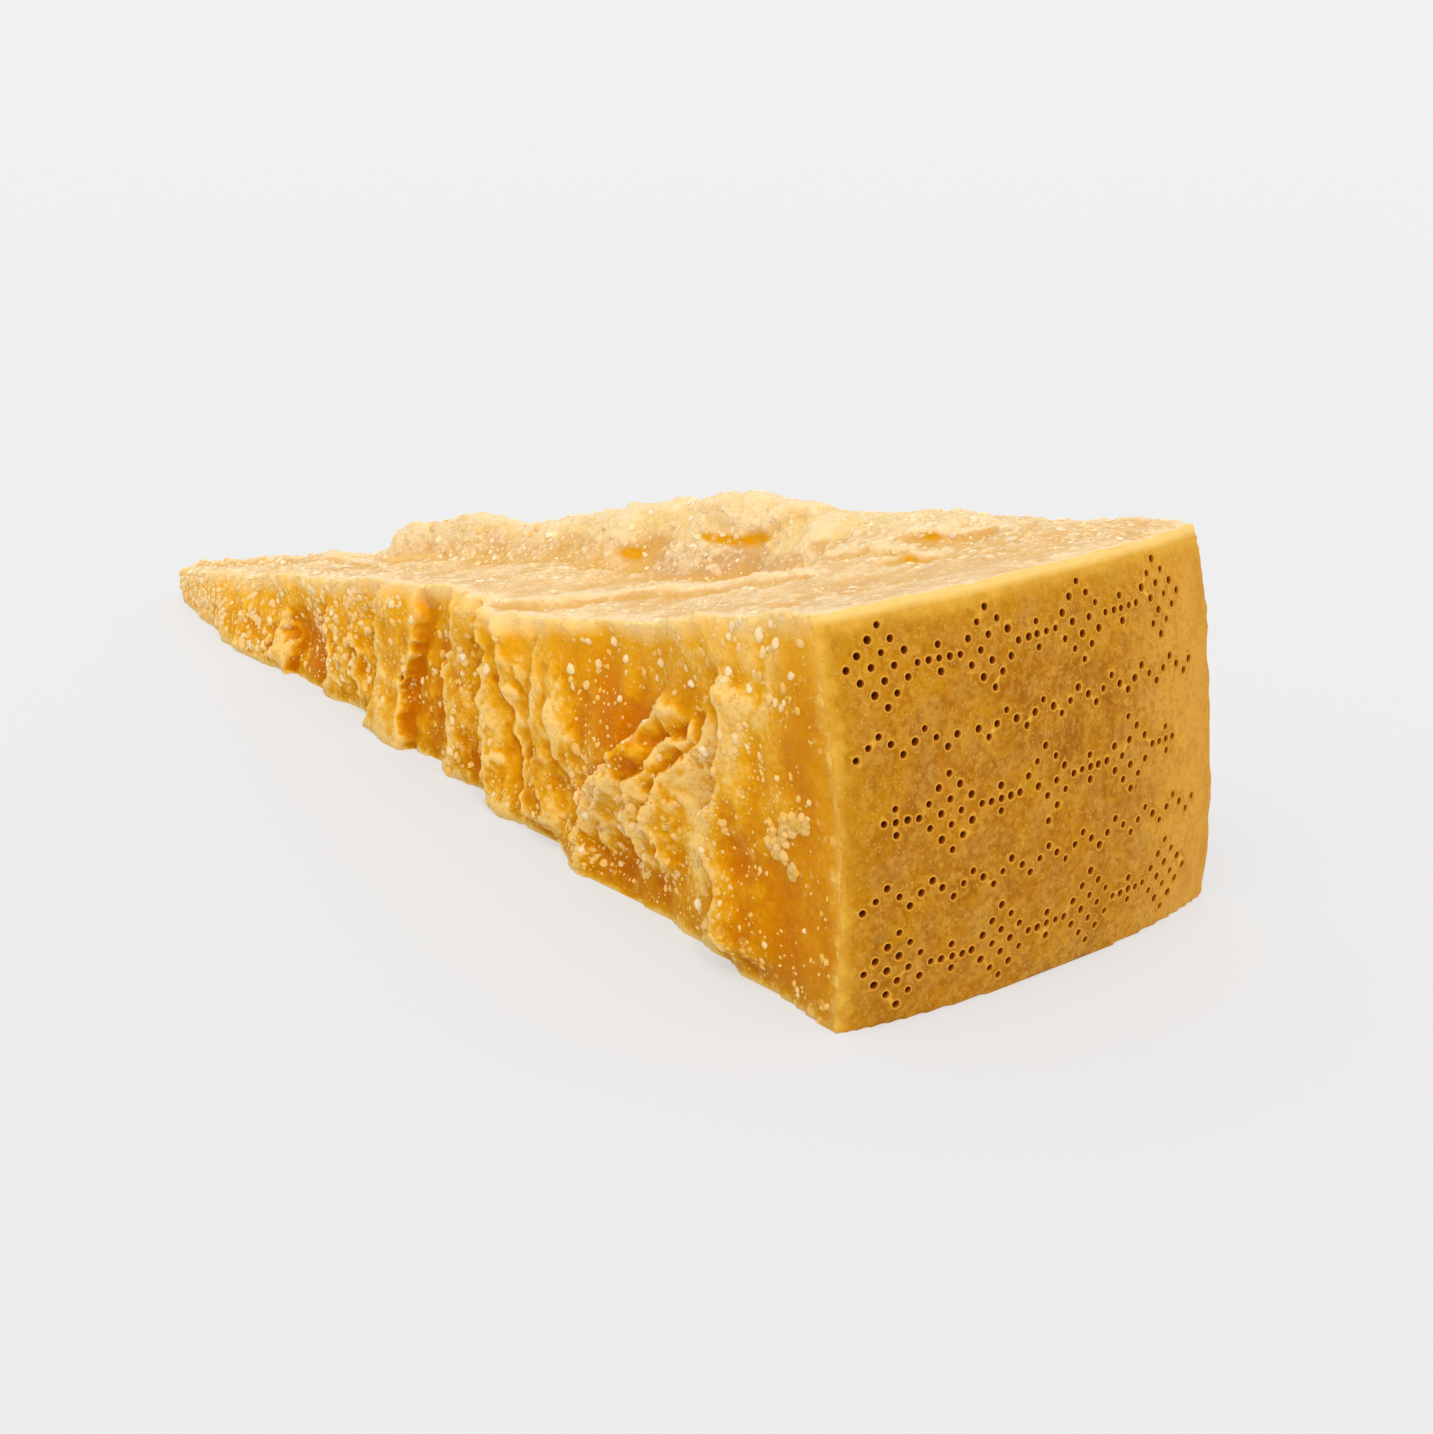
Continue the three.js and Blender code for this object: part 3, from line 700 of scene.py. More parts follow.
def mark_relief(mesh, standing):
    """Attributes that the materials read: what stands out or lies low, and how far the edges are."""
    points = wheel_places(mesh)
    outward = read(mesh.vertex_normals, "vector")
    x, y, z = points.T
    along = x / math.cos(HALF_ANGLE)
    across = across_share(x, y)
    height = top_height(x, across)
    near = y < 0
    way = evened(mesh, outward, EVEN_WAY)
    on_top = top_share(points, way[:, 2])
    crest = (CREST["broad"] * standing
             + CREST["middling"] * above(points, evened(mesh, points, MIDDLING), outward)
             + CREST["fine"] * above(points, evened(mesh, points, FINE), outward))
    crest = crest * (1 - near * lump_relief(CALM_FLAKES, x, z))
    # The tone patches add painted light and shade to the crest, as well as some of the paste's own tone.
    tones_and_light = near * ease(-way[:, 1], *NEAR_TURN) * patches(NEAR_TONE_AND_LIGHT, along, z)
    sides = np.minimum(half_width(x) + y + RIND_SIDES[0], half_width(x) - y + RIND_SIDES[1])
    face = bank_face(x, across)
    marks = {
        "crest": 0.5 + crest + (tones_and_light + on_top * patches(TOP_TONES, x, y)),
        "rind_far_light": ease(y, *RIND_FAR_LIGHT),
        "level": z / height,
        "along": along / WHEEL_RADIUS,
        "grainy": grainy_share(x, z) * near,
        "top": on_top,
        "under_rind": rind_depth(points) / UNDER_RIND,
        "under_top": (height - z) / UNDER_TOP,
        "rind_edge": np.minimum(sides, height - z) / RIND_RIM,
        "dell": lump_relief(DELL_MARK, x, y) * (1 - ease(face, *DELL_END)),
        "bank": (ease(face + BANK_FRAY * soft_noise(points, *BANK_FRAY_NOISE), *BANK_MARK)
                 * ease(bank_height(x), *BANK_MARK_HEIGHT)),
        "undercut_shadow": undercut_shadow_share(points),
    }
    for name, values in marks.items():
        add_attribute(mesh, name, np.clip(values, 0, 1))


# What part of its faces each side keeps, and how squarely a face of it looks that way.
KEPT = {"base": 0.06, "rind": 0.28, "far": 0.31, "top": 0.54, "near": 0.74}
SQUARELY = 0.6


def thin_out(body):
    """Sides that are flat, smooth or far from the eye keep only a part of their faces."""
    outward = read(body.data.polygons, "normal")
    middle = read(body.data.polygons, "center") / MM - shift
    inward = rind_depth(middle)
    base = (outward[:, 2] < -0.9) & (middle[:, 2] < 0.3)
    sides = {
        "base": base,
        "rind": (inward < 1.2) & ~base,
        "far": (outward[:, 1] > SQUARELY) & ~base & (inward > 3),
        "top": (outward[:, 2] > SQUARELY) & (inward > 2),
        "near": (outward[:, 1] < -SQUARELY) & (inward > 2),
    }
    side = np.zeros(len(middle), dtype=np.int32)
    for number, chosen in enumerate(sides.values(), 1):
        side[chosen] = number
    body.data.attributes.new("side", "INT", "FACE").data.foreach_set("value", side)
    select_only(body)
    for number, name in enumerate(sides, 1):
        for flags in (body.data.vertices, body.data.edges):
            flags.foreach_set("select", np.zeros(len(flags), dtype=bool))
        found = read(body.data.attributes["side"].data, "value", 1, np.int32)
        body.data.polygons.foreach_set("select", found == number)
        bpy.ops.object.mode_set(mode="EDIT")
        bpy.ops.mesh.select_mode(type="FACE")
        bpy.ops.mesh.decimate(ratio=KEPT[name])
        bpy.ops.object.mode_set(mode="OBJECT")
    body.data.attributes.remove(body.data.attributes["side"])


def mend(mesh):
    """Takes away the few folded faces that thinning out can leave, and closes their places again."""
    shape = bmesh.new()
    shape.from_mesh(mesh)
    while True:
        bad = {corner for edge in shape.edges if not edge.is_manifold for corner in edge.verts}
        bad |= {corner for corner in shape.verts if not corner.is_manifold}
        if not bad:
            break
        folded = {face for corner in bad for face in corner.link_faces}
        bmesh.ops.delete(shape, geom=list(folded), context="FACES")
        loose = [corner for corner in shape.verts if not corner.link_faces]
        bmesh.ops.delete(shape, geom=loose, context="VERTS")
        bmesh.ops.holes_fill(shape, edges=[edge for edge in shape.edges if edge.is_boundary], sides=0)
    bmesh.ops.triangulate(shape, faces=[face for face in shape.faces if len(face.verts) > 4])
    shape.to_mesh(mesh)
    shape.free()


# ---- pin holes in the rind ----

DOT_PITCH = 1.45
HOLE_RADII = (0.58, 0.54, 0.43, 0.26)
HOLE_LEVELS = (0.2, 0.02, -0.22, -1.15)
HOLE_SIDES = 12
LIP_RADIUS = 0.59
LIP_THICK = 0.12
LIP_HEIGHT = 0.5
PATTERN_START = -28.2
PATTERN_END = 26.4
LOZENGE_ROWS = (40.4, 23.5, 6.6)
ZIGZAG_ROWS = (32, 15)
LOZENGE_HALF = 3
MOTIF_STEP = 5
SMALL_LOZENGE = [(1, 0), (-1, 0), (0, 1), (0, -1)]
STAR = [(0, 0), *SMALL_LOZENGE]
ZIGZAG = (-0.8, 0, 0.8, 0)
# The hand that pressed the dots: how far it strayed, the rows' slow wave, the dots' sizes and lost ones.
STRAY = 0.05
ROW_WAVE = [(0.25, 0.13)]
DOT_SIZES = (0.84, 1.06)
LOST_DOTS = 0.04


def dot_places():
    """Where the dots of the rind's pattern are: lozenges and stars by turns, with zigzags between."""
    reach = range(-LOZENGE_HALF, LOZENGE_HALF + 1)
    lozenge = [place for place in product(reach, reach) if abs(place[0]) + abs(place[1]) == LOZENGE_HALF]
    dots = set()
    columns = int((PATTERN_END - PATTERN_START) / DOT_PITCH)
    for row, height in enumerate(LOZENGE_ROWS):
        for number, centre in enumerate(range(LOZENGE_HALF, columns, MOTIF_STEP)):
            motif = lozenge + SMALL_LOZENGE if number % 2 == row % 2 else STAR
            dots.update((centre + column, height + step * DOT_PITCH) for column, step in motif)
    for height in ZIGZAG_ROWS:
        dots.update((column, height + ZIGZAG[column % 4] * DOT_PITCH) for column in range(columns + 1))
    kept = [(column, height) for column, height in sorted(dots) if 0 <= column <= columns]
    return [(PATTERN_START + column * DOT_PITCH, height) for column, height in kept]


def wander(draw, dots):
    """Dots pressed by hand: each a little off its place, some of them lost."""
    kept = []
    for y, z in dots:
        off_y = draw.normal(0, STRAY)
        off_z = draw.normal(0, STRAY)
        size = draw.uniform(*DOT_SIZES)
        if draw.random() > LOST_DOTS:
            kept.append((y + off_y, z + off_z + ripple(ROW_WAVE, y, 0), size))
    return kept


def on_rind(body, y, z):
    """The place on the made rind in front of a dot, and the way out of it."""
    start = (np.array([WHEEL_RADIUS + 10, y, z]) + shift) * MM
    found, place, outward, _ = body.ray_cast(Vector(start), Vector((-1, 0, 0)))
    return np.array(place), np.array(outward), found


def frame_along(outward):
    side = np.cross(outward, (0, 0, 1))
    side /= np.linalg.norm(side)
    return np.stack([side, np.cross(outward, side), outward])


def shape_arrays(add, **how):
    """A primitive's points and faces as arrays, for a shape that is laid down many times."""
    sample = fresh(add, **how)
    points = read(sample.data.vertices, "co")
    faces = [tuple(face.vertices) for face in sample.data.polygons]
    discard(sample)
    return points, faces


def joined_piece(name, parts, smooth):
    """One mesh of many parts, each of them (points, faces)."""
    points, faces, count = [], [], 0
    for some_points, some_faces in parts:
        points.append(some_points)
        faces.extend([tuple(corner + count for corner in face) for face in some_faces])
        count += len(some_points)
    mesh = bpy.data.meshes.new(name)
    mesh.from_pydata(np.concatenate(points).tolist(), [], faces)
    mesh.polygons.foreach_set("use_smooth", np.full(len(faces), smooth))
    mesh.update()
    piece = bpy.data.objects.new(name, mesh)
    bpy.context.collection.objects.link(piece)
    return piece


def turned_shape(radii, levels, sides):
    """Rings one above the other, closed at both ends, with the number of the ring that each face is under."""
    angles = np.arange(sides) * 2 * math.pi / sides
    circle = np.stack([np.cos(angles), np.sin(angles), np.zeros(sides)], axis=1)
    points = np.concatenate([circle * radius + (0, 0, level) for radius, level in zip(radii, levels)])
    faces, rings = [tuple(range(sides))], [0]
    for ring, side in product(range(len(radii) - 1), range(sides)):
        after = (side + 1) % sides
        upper, lower = ring * sides, (ring + 1) * sides
        faces.append((upper + after, upper + side, lower + side, lower + after))
        rings.append(ring)
    faces.append(tuple(reversed(range((len(radii) - 1) * sides, len(radii) * sides))))
    rings.append(len(radii))
    return points, faces, rings


def press_holes(body, dots):
    """Cuts the holes, and returns the raised lips round them as one piece."""
    pit, pit_faces, rings = turned_shape(HOLE_RADII, HOLE_LEVELS, HOLE_SIDES)
    lip, lip_faces = shape_arrays(bpy.ops.mesh.primitive_torus_add, major_segments=12, minor_segments=6,
                                  major_radius=LIP_RADIUS, minor_radius=LIP_THICK)
    pits, lips = [], []
    for y, z, size in dots:
        place, outward, found = on_rind(body, y, z)
        if not found:
            continue
        turn = frame_along(outward)
        pits.append((place + (pit * size) @ turn * MM, pit_faces))
        lips.append((place + lip * (size, size, LIP_HEIGHT) @ turn * MM, lip_faces))
    cutter = joined_piece("hole_cutter", pits, False)
    for material in body.data.materials:
        cutter.data.materials.append(material)
    slots = np.tile(np.where(np.array(rings) < 2, FUNNEL, PIT), len(pits))
    cutter.data.polygons.foreach_set("material_index", slots.astype(np.int32))
    apply_modifier(body, "BOOLEAN", operation="DIFFERENCE", object=cutter, solver="MANIFOLD")
    discard(cutter)
    return joined_piece("hole_lips", lips, True)


# ---- crystals ----

GRAIN_COUNT = 9800
CRYSTAL_COUNT = 2030
# How large they are, as radii: (least, spread above it, the two powers of the curve that it follows).
GRAIN_SIZES = (0.16, 0.4, 1.2, 4.0)
CRYSTAL_SIZES = (0.36, 0.55, 1.2, 2.6)
# Where they lie: away from the rind and the base, in patches made by two noises, (share, size, seed), and
# more of them on the bank, on the top, in the dell and where the side is grainy.
FROM_RIND_EDGE = (1.5, 4.0)
FROM_BASE = (0.6, 1.6)
CROWD = ((0.9, 16, 31), (0.5, 6, 32))
CROWD_SPAN = (0.12, 1.6)
CROWD_MORE = {"bank": 0.3, "grainy": 0.5}
TIMES_MORE = {"top": 0.3, "dell": 7, "grainy": 1.2}
LESS_LARGE = {"top": 0.6, "side": 0.8}
# They are pale on the top and under its brim, and duller on the sides: partly their own whiteness, partly
# painted light, the glow and sheen of lit crystals.
BRIM = (1, 6)
SIDE_PALE = 0.65
# How far they are turned off the face's own way, and what part of their thickness is sunk in it.
TURNED_OFF = 0.12
GRAIN_SUNK = 0.4
SUNK = 0.45
LONE_SUNK = 0.3
STRETCH = (-0.1, 0.25)
SQUEEZE = (-0.25, 0)
UNEVEN = (0.06, 0.1)
# Larger crystals by the tip, and some in front of the rind: how many, how large, where they become fewer.
NEAR_STONES = 190
TOP_STONES = 90
STONE_SIZES = (0.48, 0.84)
STONE_REACH = (60, 135)
RIND_STONES = (189, 38, 8, 7, 1.2)
# The cluster by the rind, and a small one by the base: (along, up, wide, tall, count).
CLUSTERS = [(197, 21.8, 0.9, 0.5, 9), (195, 21, 0.8, 0.7, 8), (193.2, 19.4, 0.8, 0.8, 9),
            (192.8, 17.6, 0.7, 0.7, 8), (195.2, 16, 0.9, 0.6, 9), (178, 4.5, 1.2, 0.8, 4)]
CLUSTER_SIZES = (0.62, 0.95)
# Crystals that lie alone: (along, up, radius).
LONE_CRYSTALS = [
    (143.2, 25.3, 0.84), (148.1, 27, 0.744), (143.8, 23.2, 0.6), (154.8, 24.2, 0.66), (172.8, 31.5, 0.66),
    (185.1, 28.8, 0.66), (182.5, 35.6, 0.72), (188.4, 41.7, 0.864), (184.5, 42, 0.6), (120.5, 19.5, 0.78),
    (138.8, 18.2, 0.6), (150, 8, 0.66), (146.5, 29.5, 0.6), (151.5, 30.8, 0.744), (154.4, 29.2, 0.696),
    (163, 31, 0.72), (177.5, 24.5, 0.72), (192, 41.2, 0.84), (179, 33.4, 0.6), (187, 35, 0.66),
    (176, 5, 1.02), (180.5, 5.6, 0.96), (112, 19, 0.72), (104, 8, 0.72), (60, 8, 0.6), (36, 7, 0.54),
    (95, 20, 0.66), (87, 6, 0.72),
]


def crystal_points(draw, shape, place, outward, size, flat, uneven):
    angle = draw.uniform(0, 2 * math.pi)
    cos, sin = math.cos(angle), math.sin(angle)
    spin = np.array([[cos, sin, 0], [-sin, cos, 0], [0, 0, 1]])
    stretch = np.array([1 + uneven * draw.uniform(*STRETCH), 1 + uneven * draw.uniform(*SQUEEZE), flat])
    rough = shape * (1 + draw.normal(0, lerp(*UNEVEN, uneven), (len(shape), 1)))
    return place + (rough * stretch * size * MM) @ spin @ frame_along(outward)


class Strewer:
    """Lays grains and crystals on the broken faces. Tints are from 0, tan, to 1, white."""

    def __init__(self, body):
        faces = body.data.polygons
        self.draw = np.random.default_rng(SEED)
        ball = bpy.ops.mesh.primitive_ico_sphere_add
        self.small, self.large = (shape_arrays(ball, subdivisions=cuts, radius=1) for cuts in (1, 2))
        self.middle = read(faces, "center")
        self.outward = read(faces, "normal")
        self.parts = []
        self.tints = []
        places = self.middle / MM - shift
        x, y, z = places.T
        inward = rind_depth(places)
        across = across_share(x, y)
        self.x, self.z = x, z
        self.on_top = top_share(places, self.outward[:, 2])
        self.grainy = grainy_share(x, z)
        self.pale = lerp(SIDE_PALE, 1, self.on_top)
        self.brim = np.maximum(self.on_top, 1 - ease(top_height(x, across) - z, *BRIM))
        self.crowd = 0.5 + sum(share * soft_noise(places, size, seed) for share, size, seed in CROWD)
        self.near_faces = np.flatnonzero((self.outward[:, 1] < -0.5) & (inward > 1))
        self.top_faces = np.flatnonzero(self.outward[:, 2] > 0.7)
        dell = lump_relief(DELL, x, y) * self.on_top
        bank = bank_face(x, across) * self.on_top
        crowd = self.crowd + CROWD_MORE["bank"] * bank + CROWD_MORE["grainy"] * self.grainy
        more = (1 + TIMES_MORE["top"] * self.on_top + TIMES_MORE["dell"] * dell
                + TIMES_MORE["grainy"] * self.grainy)
        # Grains keep out of the painted undercut shadows.
        self.weight = (read(faces, "area", 1) * ease(inward, *FROM_RIND_EDGE) * ease(z, *FROM_BASE)
                       * np.clip(crowd, *CROWD_SPAN) * more * (1 - np.clip(undercut_shadow_share(places), 0, 1)))

    def chosen(self, faces, count):
        return self.draw.choice(faces, count, p=self.weight[faces] / self.weight[faces].sum())

    def nearest(self, along, up):
        faces = self.near_faces
        off = np.hypot(self.x[faces] / math.cos(HALF_ANGLE) - along, self.z[faces] - up)
        return faces[np.argmin(off)]

    def drawn_size(self, least, spread, *powers):
        return least + spread * self.draw.beta(*powers)

    def lay(self, shape, index, size, flat, tint, sunk=SUNK, uneven=1.0):
        points, faces = shape
        way = self.outward[index] + self.draw.normal(0, TURNED_OFF, 3)
        way /= np.linalg.norm(way)
        place = self.middle[index] - way * size * flat * sunk * MM
        self.parts.append((crystal_points(self.draw, points, place, way, size, flat, uneven), faces))
        self.tints.extend([tint] * len(points))

    def piece(self, name):
        piece = joined_piece(name, self.parts, False)
        add_attribute(piece.data, "tint", np.array(self.tints))
        self.parts.clear()
        self.tints.clear()
        return piece

    def strew_grains(self):
        draw = self.draw
        for index in self.chosen(np.arange(len(self.weight)), GRAIN_COUNT):
            size = self.drawn_size(*GRAIN_SIZES)
            tint = (0.4 + 0.4 * self.grainy[index]) * draw.random() ** 2
            tint = lerp(tint, draw.uniform(0.4, 1) * self.pale[index], self.brim[index])
            self.lay(self.small, index, size, lerp(0.9, 0.5, self.on_top[index]), tint, sunk=GRAIN_SUNK)

    def strew_crystals(self):
        draw = self.draw
        sparse_side = ease(-self.outward[:, 1], *NEAR_TURN) * ease(self.crowd, 0.5, 0.1)
        self.weight = (self.weight * (1 - LESS_LARGE["top"] * self.on_top)
                       * (1 - LESS_LARGE["side"] * sparse_side))
        for index in self.chosen(np.arange(len(self.weight)), CRYSTAL_COUNT):
            near_grains = self.grainy[index] * (1 - self.on_top[index])
            size = self.drawn_size(*CRYSTAL_SIZES) * (1 + 0.3 * near_grains)
            tint = lerp(0.05 + 0.6 * draw.random() ** 2.5, draw.uniform(0.2, 0.8), 0.7 * near_grains)
            tint = lerp(tint, draw.uniform(0.5, 1) * self.pale[index], self.brim[index])
            self.lay(self.large, index, size, lerp(0.6, 0.4, self.on_top[index]), tint)

    def lay_clusters(self):
        draw = self.draw
        for along, up, wide, tall, count in CLUSTERS:
            for _ in range(count):
                index = self.nearest(draw.normal(along, wide), draw.normal(up, tall))
                size = draw.uniform(*CLUSTER_SIZES)
                self.lay(self.large, index, size, 0.9, draw.uniform(0, 0.35), uneven=0.3)

    def strew_stones(self):
        draw = self.draw
        by_rind = lump_relief(RIND_STONES, self.x, self.z)
        self.weight = self.weight * (1 - ease(self.x, *STONE_REACH) + by_rind)
        for faces, count, flat, tints in ((self.near_faces, NEAR_STONES, 0.7, (0.15, 0.7)),
                                          (self.top_faces, TOP_STONES, 0.4, (0.45, 1))):
            for index in self.chosen(faces, count):
                size = draw.uniform(*STONE_SIZES)
                self.lay(self.large, index, size, flat, draw.uniform(*tints), uneven=0.5)

    def lay_lone_crystals(self):
        for along, up, size in LONE_CRYSTALS:
            tint = self.draw.uniform(0.45, 0.85)
            self.lay(self.large, self.nearest(along, up), size, 0.65, tint, sunk=LONE_SUNK)


def make_crystals(body):
    """Pale grains and white crystals of the ripe cheese, sunk in the broken faces."""
    strewer = Strewer(body)
    strewer.strew_grains()
    grains_piece = strewer.piece("grains")
    strewer.strew_crystals()
    strewer.lay_clusters()
    strewer.strew_stones()
    strewer.lay_lone_crystals()
    return strewer.piece("crystals"), grains_piece


# ---- materials ----

PASTE, RIND, FUNNEL, PIT = range(4)

AMBER_GLOSS = (1.0, 0.62, 0.2)
NO_GLOW = (0, 50, (1, 0.2, 0.1))


class Nodes:
    """Short ways of adding shader nodes to a material; sizes are in millimetres."""

    def __init__(self, name):
        self.material = bpy.data.materials.new(name)
        self.material.use_nodes = True
        self.tree = self.material.node_tree
        self.place = self.node("TexCoord", "Object", {})

    def feed(self, socket, value):
        if isinstance(value, bpy.types.NodeSocket):
            self.tree.links.new(value, socket)
        elif socket.type == "RGBA":
            socket.default_value = (*value, 1)
        else:
            socket.default_value = value

    def node(self, kind, output, feeds, **settings):
        """Adds a node with values or links on its inputs, and returns one of its outputs."""
        node = self.tree.nodes.new("ShaderNode" + kind)
        for name, value in settings.items():
            setattr(node, name, value)
        for name, value in feeds.items():
            self.feed(node.inputs[name], value)
        return node.outputs[output]

    def attribute(self, name):
        return self.node("Attribute", "Fac", {}, attribute_name=name)

    def noise(self, size, detail=4, rough=0.55, stretch=None):
        place = self.place
        if stretch:
            place = self.node("Mapping", "Vector", {"Vector": place, "Scale": stretch})
        return self.node("TexNoise", "Fac", {"Vector": place, "Scale": 1 / (size * MM), "Detail": detail,
                                             "Roughness": rough})

    def ranged(self, value, low, high, start=0, end=1):
        return self.node("MapRange", "Result", {"Value": value, "From Min": low, "From Max": high,
                                                "To Min": start, "To Max": end})

    def math(self, how, a, b):
        return self.node("Math", "Value", {0: a, 1: b}, operation=how)

    plus = partialmethod(math, "ADD")
    times = partialmethod(math, "MULTIPLY")
    larger = partialmethod(math, "MAXIMUM")

    def frayed(self, value, noise, reach):
        """The value, pushed up and down by a noise."""
        return self.plus(value, self.ranged(noise, 0.3, 0.7, -reach, reach))

    def mix(self, part, a, b, how="MIX"):
        return self.node("Mix", 2, {0: part, 6: a, 7: b}, data_type="RGBA", blend_type=how)

    def layered(self, colour, layers):
        """Lays tints over a colour: (tint, what it follows, from, to, share there, share at the end)."""
        for tint, value, low, high, start, end in layers:
            colour = self.mix(self.ranged(value, low, high, start, end), colour, tint)
        return colour

    def shaded(self, colour, part, dark, light):
        return self.mix(1, colour, self.mix(part, dark, light), "MULTIPLY")

    def ramp(self, value, stops):
        colour = self.node("ValToRGB", "Color", {"Fac": value})
        marks = colour.node.color_ramp.elements
        while len(marks) < len(stops):
            marks.new(0.5)
        for mark, (at, tint) in zip(marks, stops):
            mark.position = at
            mark.color = (*tint, 1)
        return colour

    def ragged_place(self, size, reach):
        """The place, pushed about a little so that round specks become uneven."""
        noise = self.node("TexNoise", "Color", {"Vector": self.place, "Scale": 1 / (size * MM)})
        feeds = {0: noise, 1: (reach * MM,) * 3, 2: self.place}
        return self.node("VectorMath", "Vector", feeds, operation="MULTIPLY_ADD")

    def specks(self, size, share, reach=0.4, fade=0.4, place=None):
        """Specks, the share of them that are there, how much of their cell they fill and where they fade."""
        off = self.node("TexVoronoi", "Distance", {"Vector": place or self.place, "Scale": 1 / (size * MM)})
        there = self.ranged(off.node.outputs["Color"], 1 - share, 1.04 - share)
        return self.times(there, self.ranged(off, reach * fade, reach, 1, 0))

    def bump(self, height, distance, strength, **under):
        feeds = {"Height": height, "Distance": distance * MM, "Strength": strength, **under}
        return self.node("Bump", "Normal", feeds)

    def finish(self, colour, rough, gloss, glow=NO_GLOW, **more):
        """Glow is the share of the light that goes in, how far, and how far its red, green and blue go."""
        share, depth, spread = glow
        feeds = {"Base Color": colour, "Roughness": rough, "Specular IOR Level": gloss,
                 "Specular Tint": AMBER_GLOSS, "Subsurface Weight": share, "Subsurface Scale": depth * MM,
                 "Subsurface Radius": spread, **more}
        for name, value in feeds.items():
            self.feed(self.tree.nodes["Principled BSDF"].inputs[name], value)
        return self.material


# Painted shade and light on the broken sides, by the crest: deep amber in the hollows as painted shade, pale
# on the crests as painted light.
DEEP_SHADE_AMBER = (0.6, 0.178, 0.0002)
HOLLOW_SHADE_AMBER = (0.66, 0.243, 0.0004)
GOLDEN = (0.755, 0.325, 0.002)
LIGHT_GOLD = (0.83, 0.415, 0.022)
LIT_PALE_CREST = (0.93, 0.605, 0.2)
SIDE_RELIEF_SHADING = ((0.1, DEEP_SHADE_AMBER), (0.33, HOLLOW_SHADE_AMBER), (0.52, GOLDEN), (0.7, LIGHT_GOLD), (0.95, LIT_PALE_CREST))
NEAR_RIND = (0.62, 0.21, 0.001)
EDGE_GOLD = (0.74, 0.38, 0.05)
# Painted light: under the top edge the side turns a brighter gold and then cream, as if light glowed through
# the thin edge.
UPPER_GOLD_GLOW = (0.91, 0.43, 0.008)
SIDE_CREAM_GLOW = (0.95, 0.66, 0.27)
# The painted shade of the sides: a slight dimming where they are lit, and darker colours low down and at the
# base.
SIDE_LIGHT = (0.975, 0.96, 0.9)
LOW_SHADE = (0.88, 0.82, 0.5)
BASE_SHADE = (0.84, 0.86, 0.88)
WHITE = (1, 1, 1)
TOP_LIT_CREAM = (0.87, 0.66, 0.37)
TOP_PEACH = (0.80, 0.525, 0.235)
TOP_BROWN = (0.69, 0.40, 0.145)
TOP_HOLLOW_SHADE = (0.68, 0.38, 0.085)
DELL_BROWN = (0.60, 0.35, 0.15)
BANK_YELLOW = (0.81, 0.57, 0.235)
UNDERCUT_SHADOW_GOLD = (0.70, 0.315, 0.004)
SPECK_TAN = (0.93, 0.59, 0.15)
SPECK_CREAM = (0.94, 0.74, 0.46)
PASTE_GLOW = (0.3, 1.5, (1.0, 0.7, 0.3))


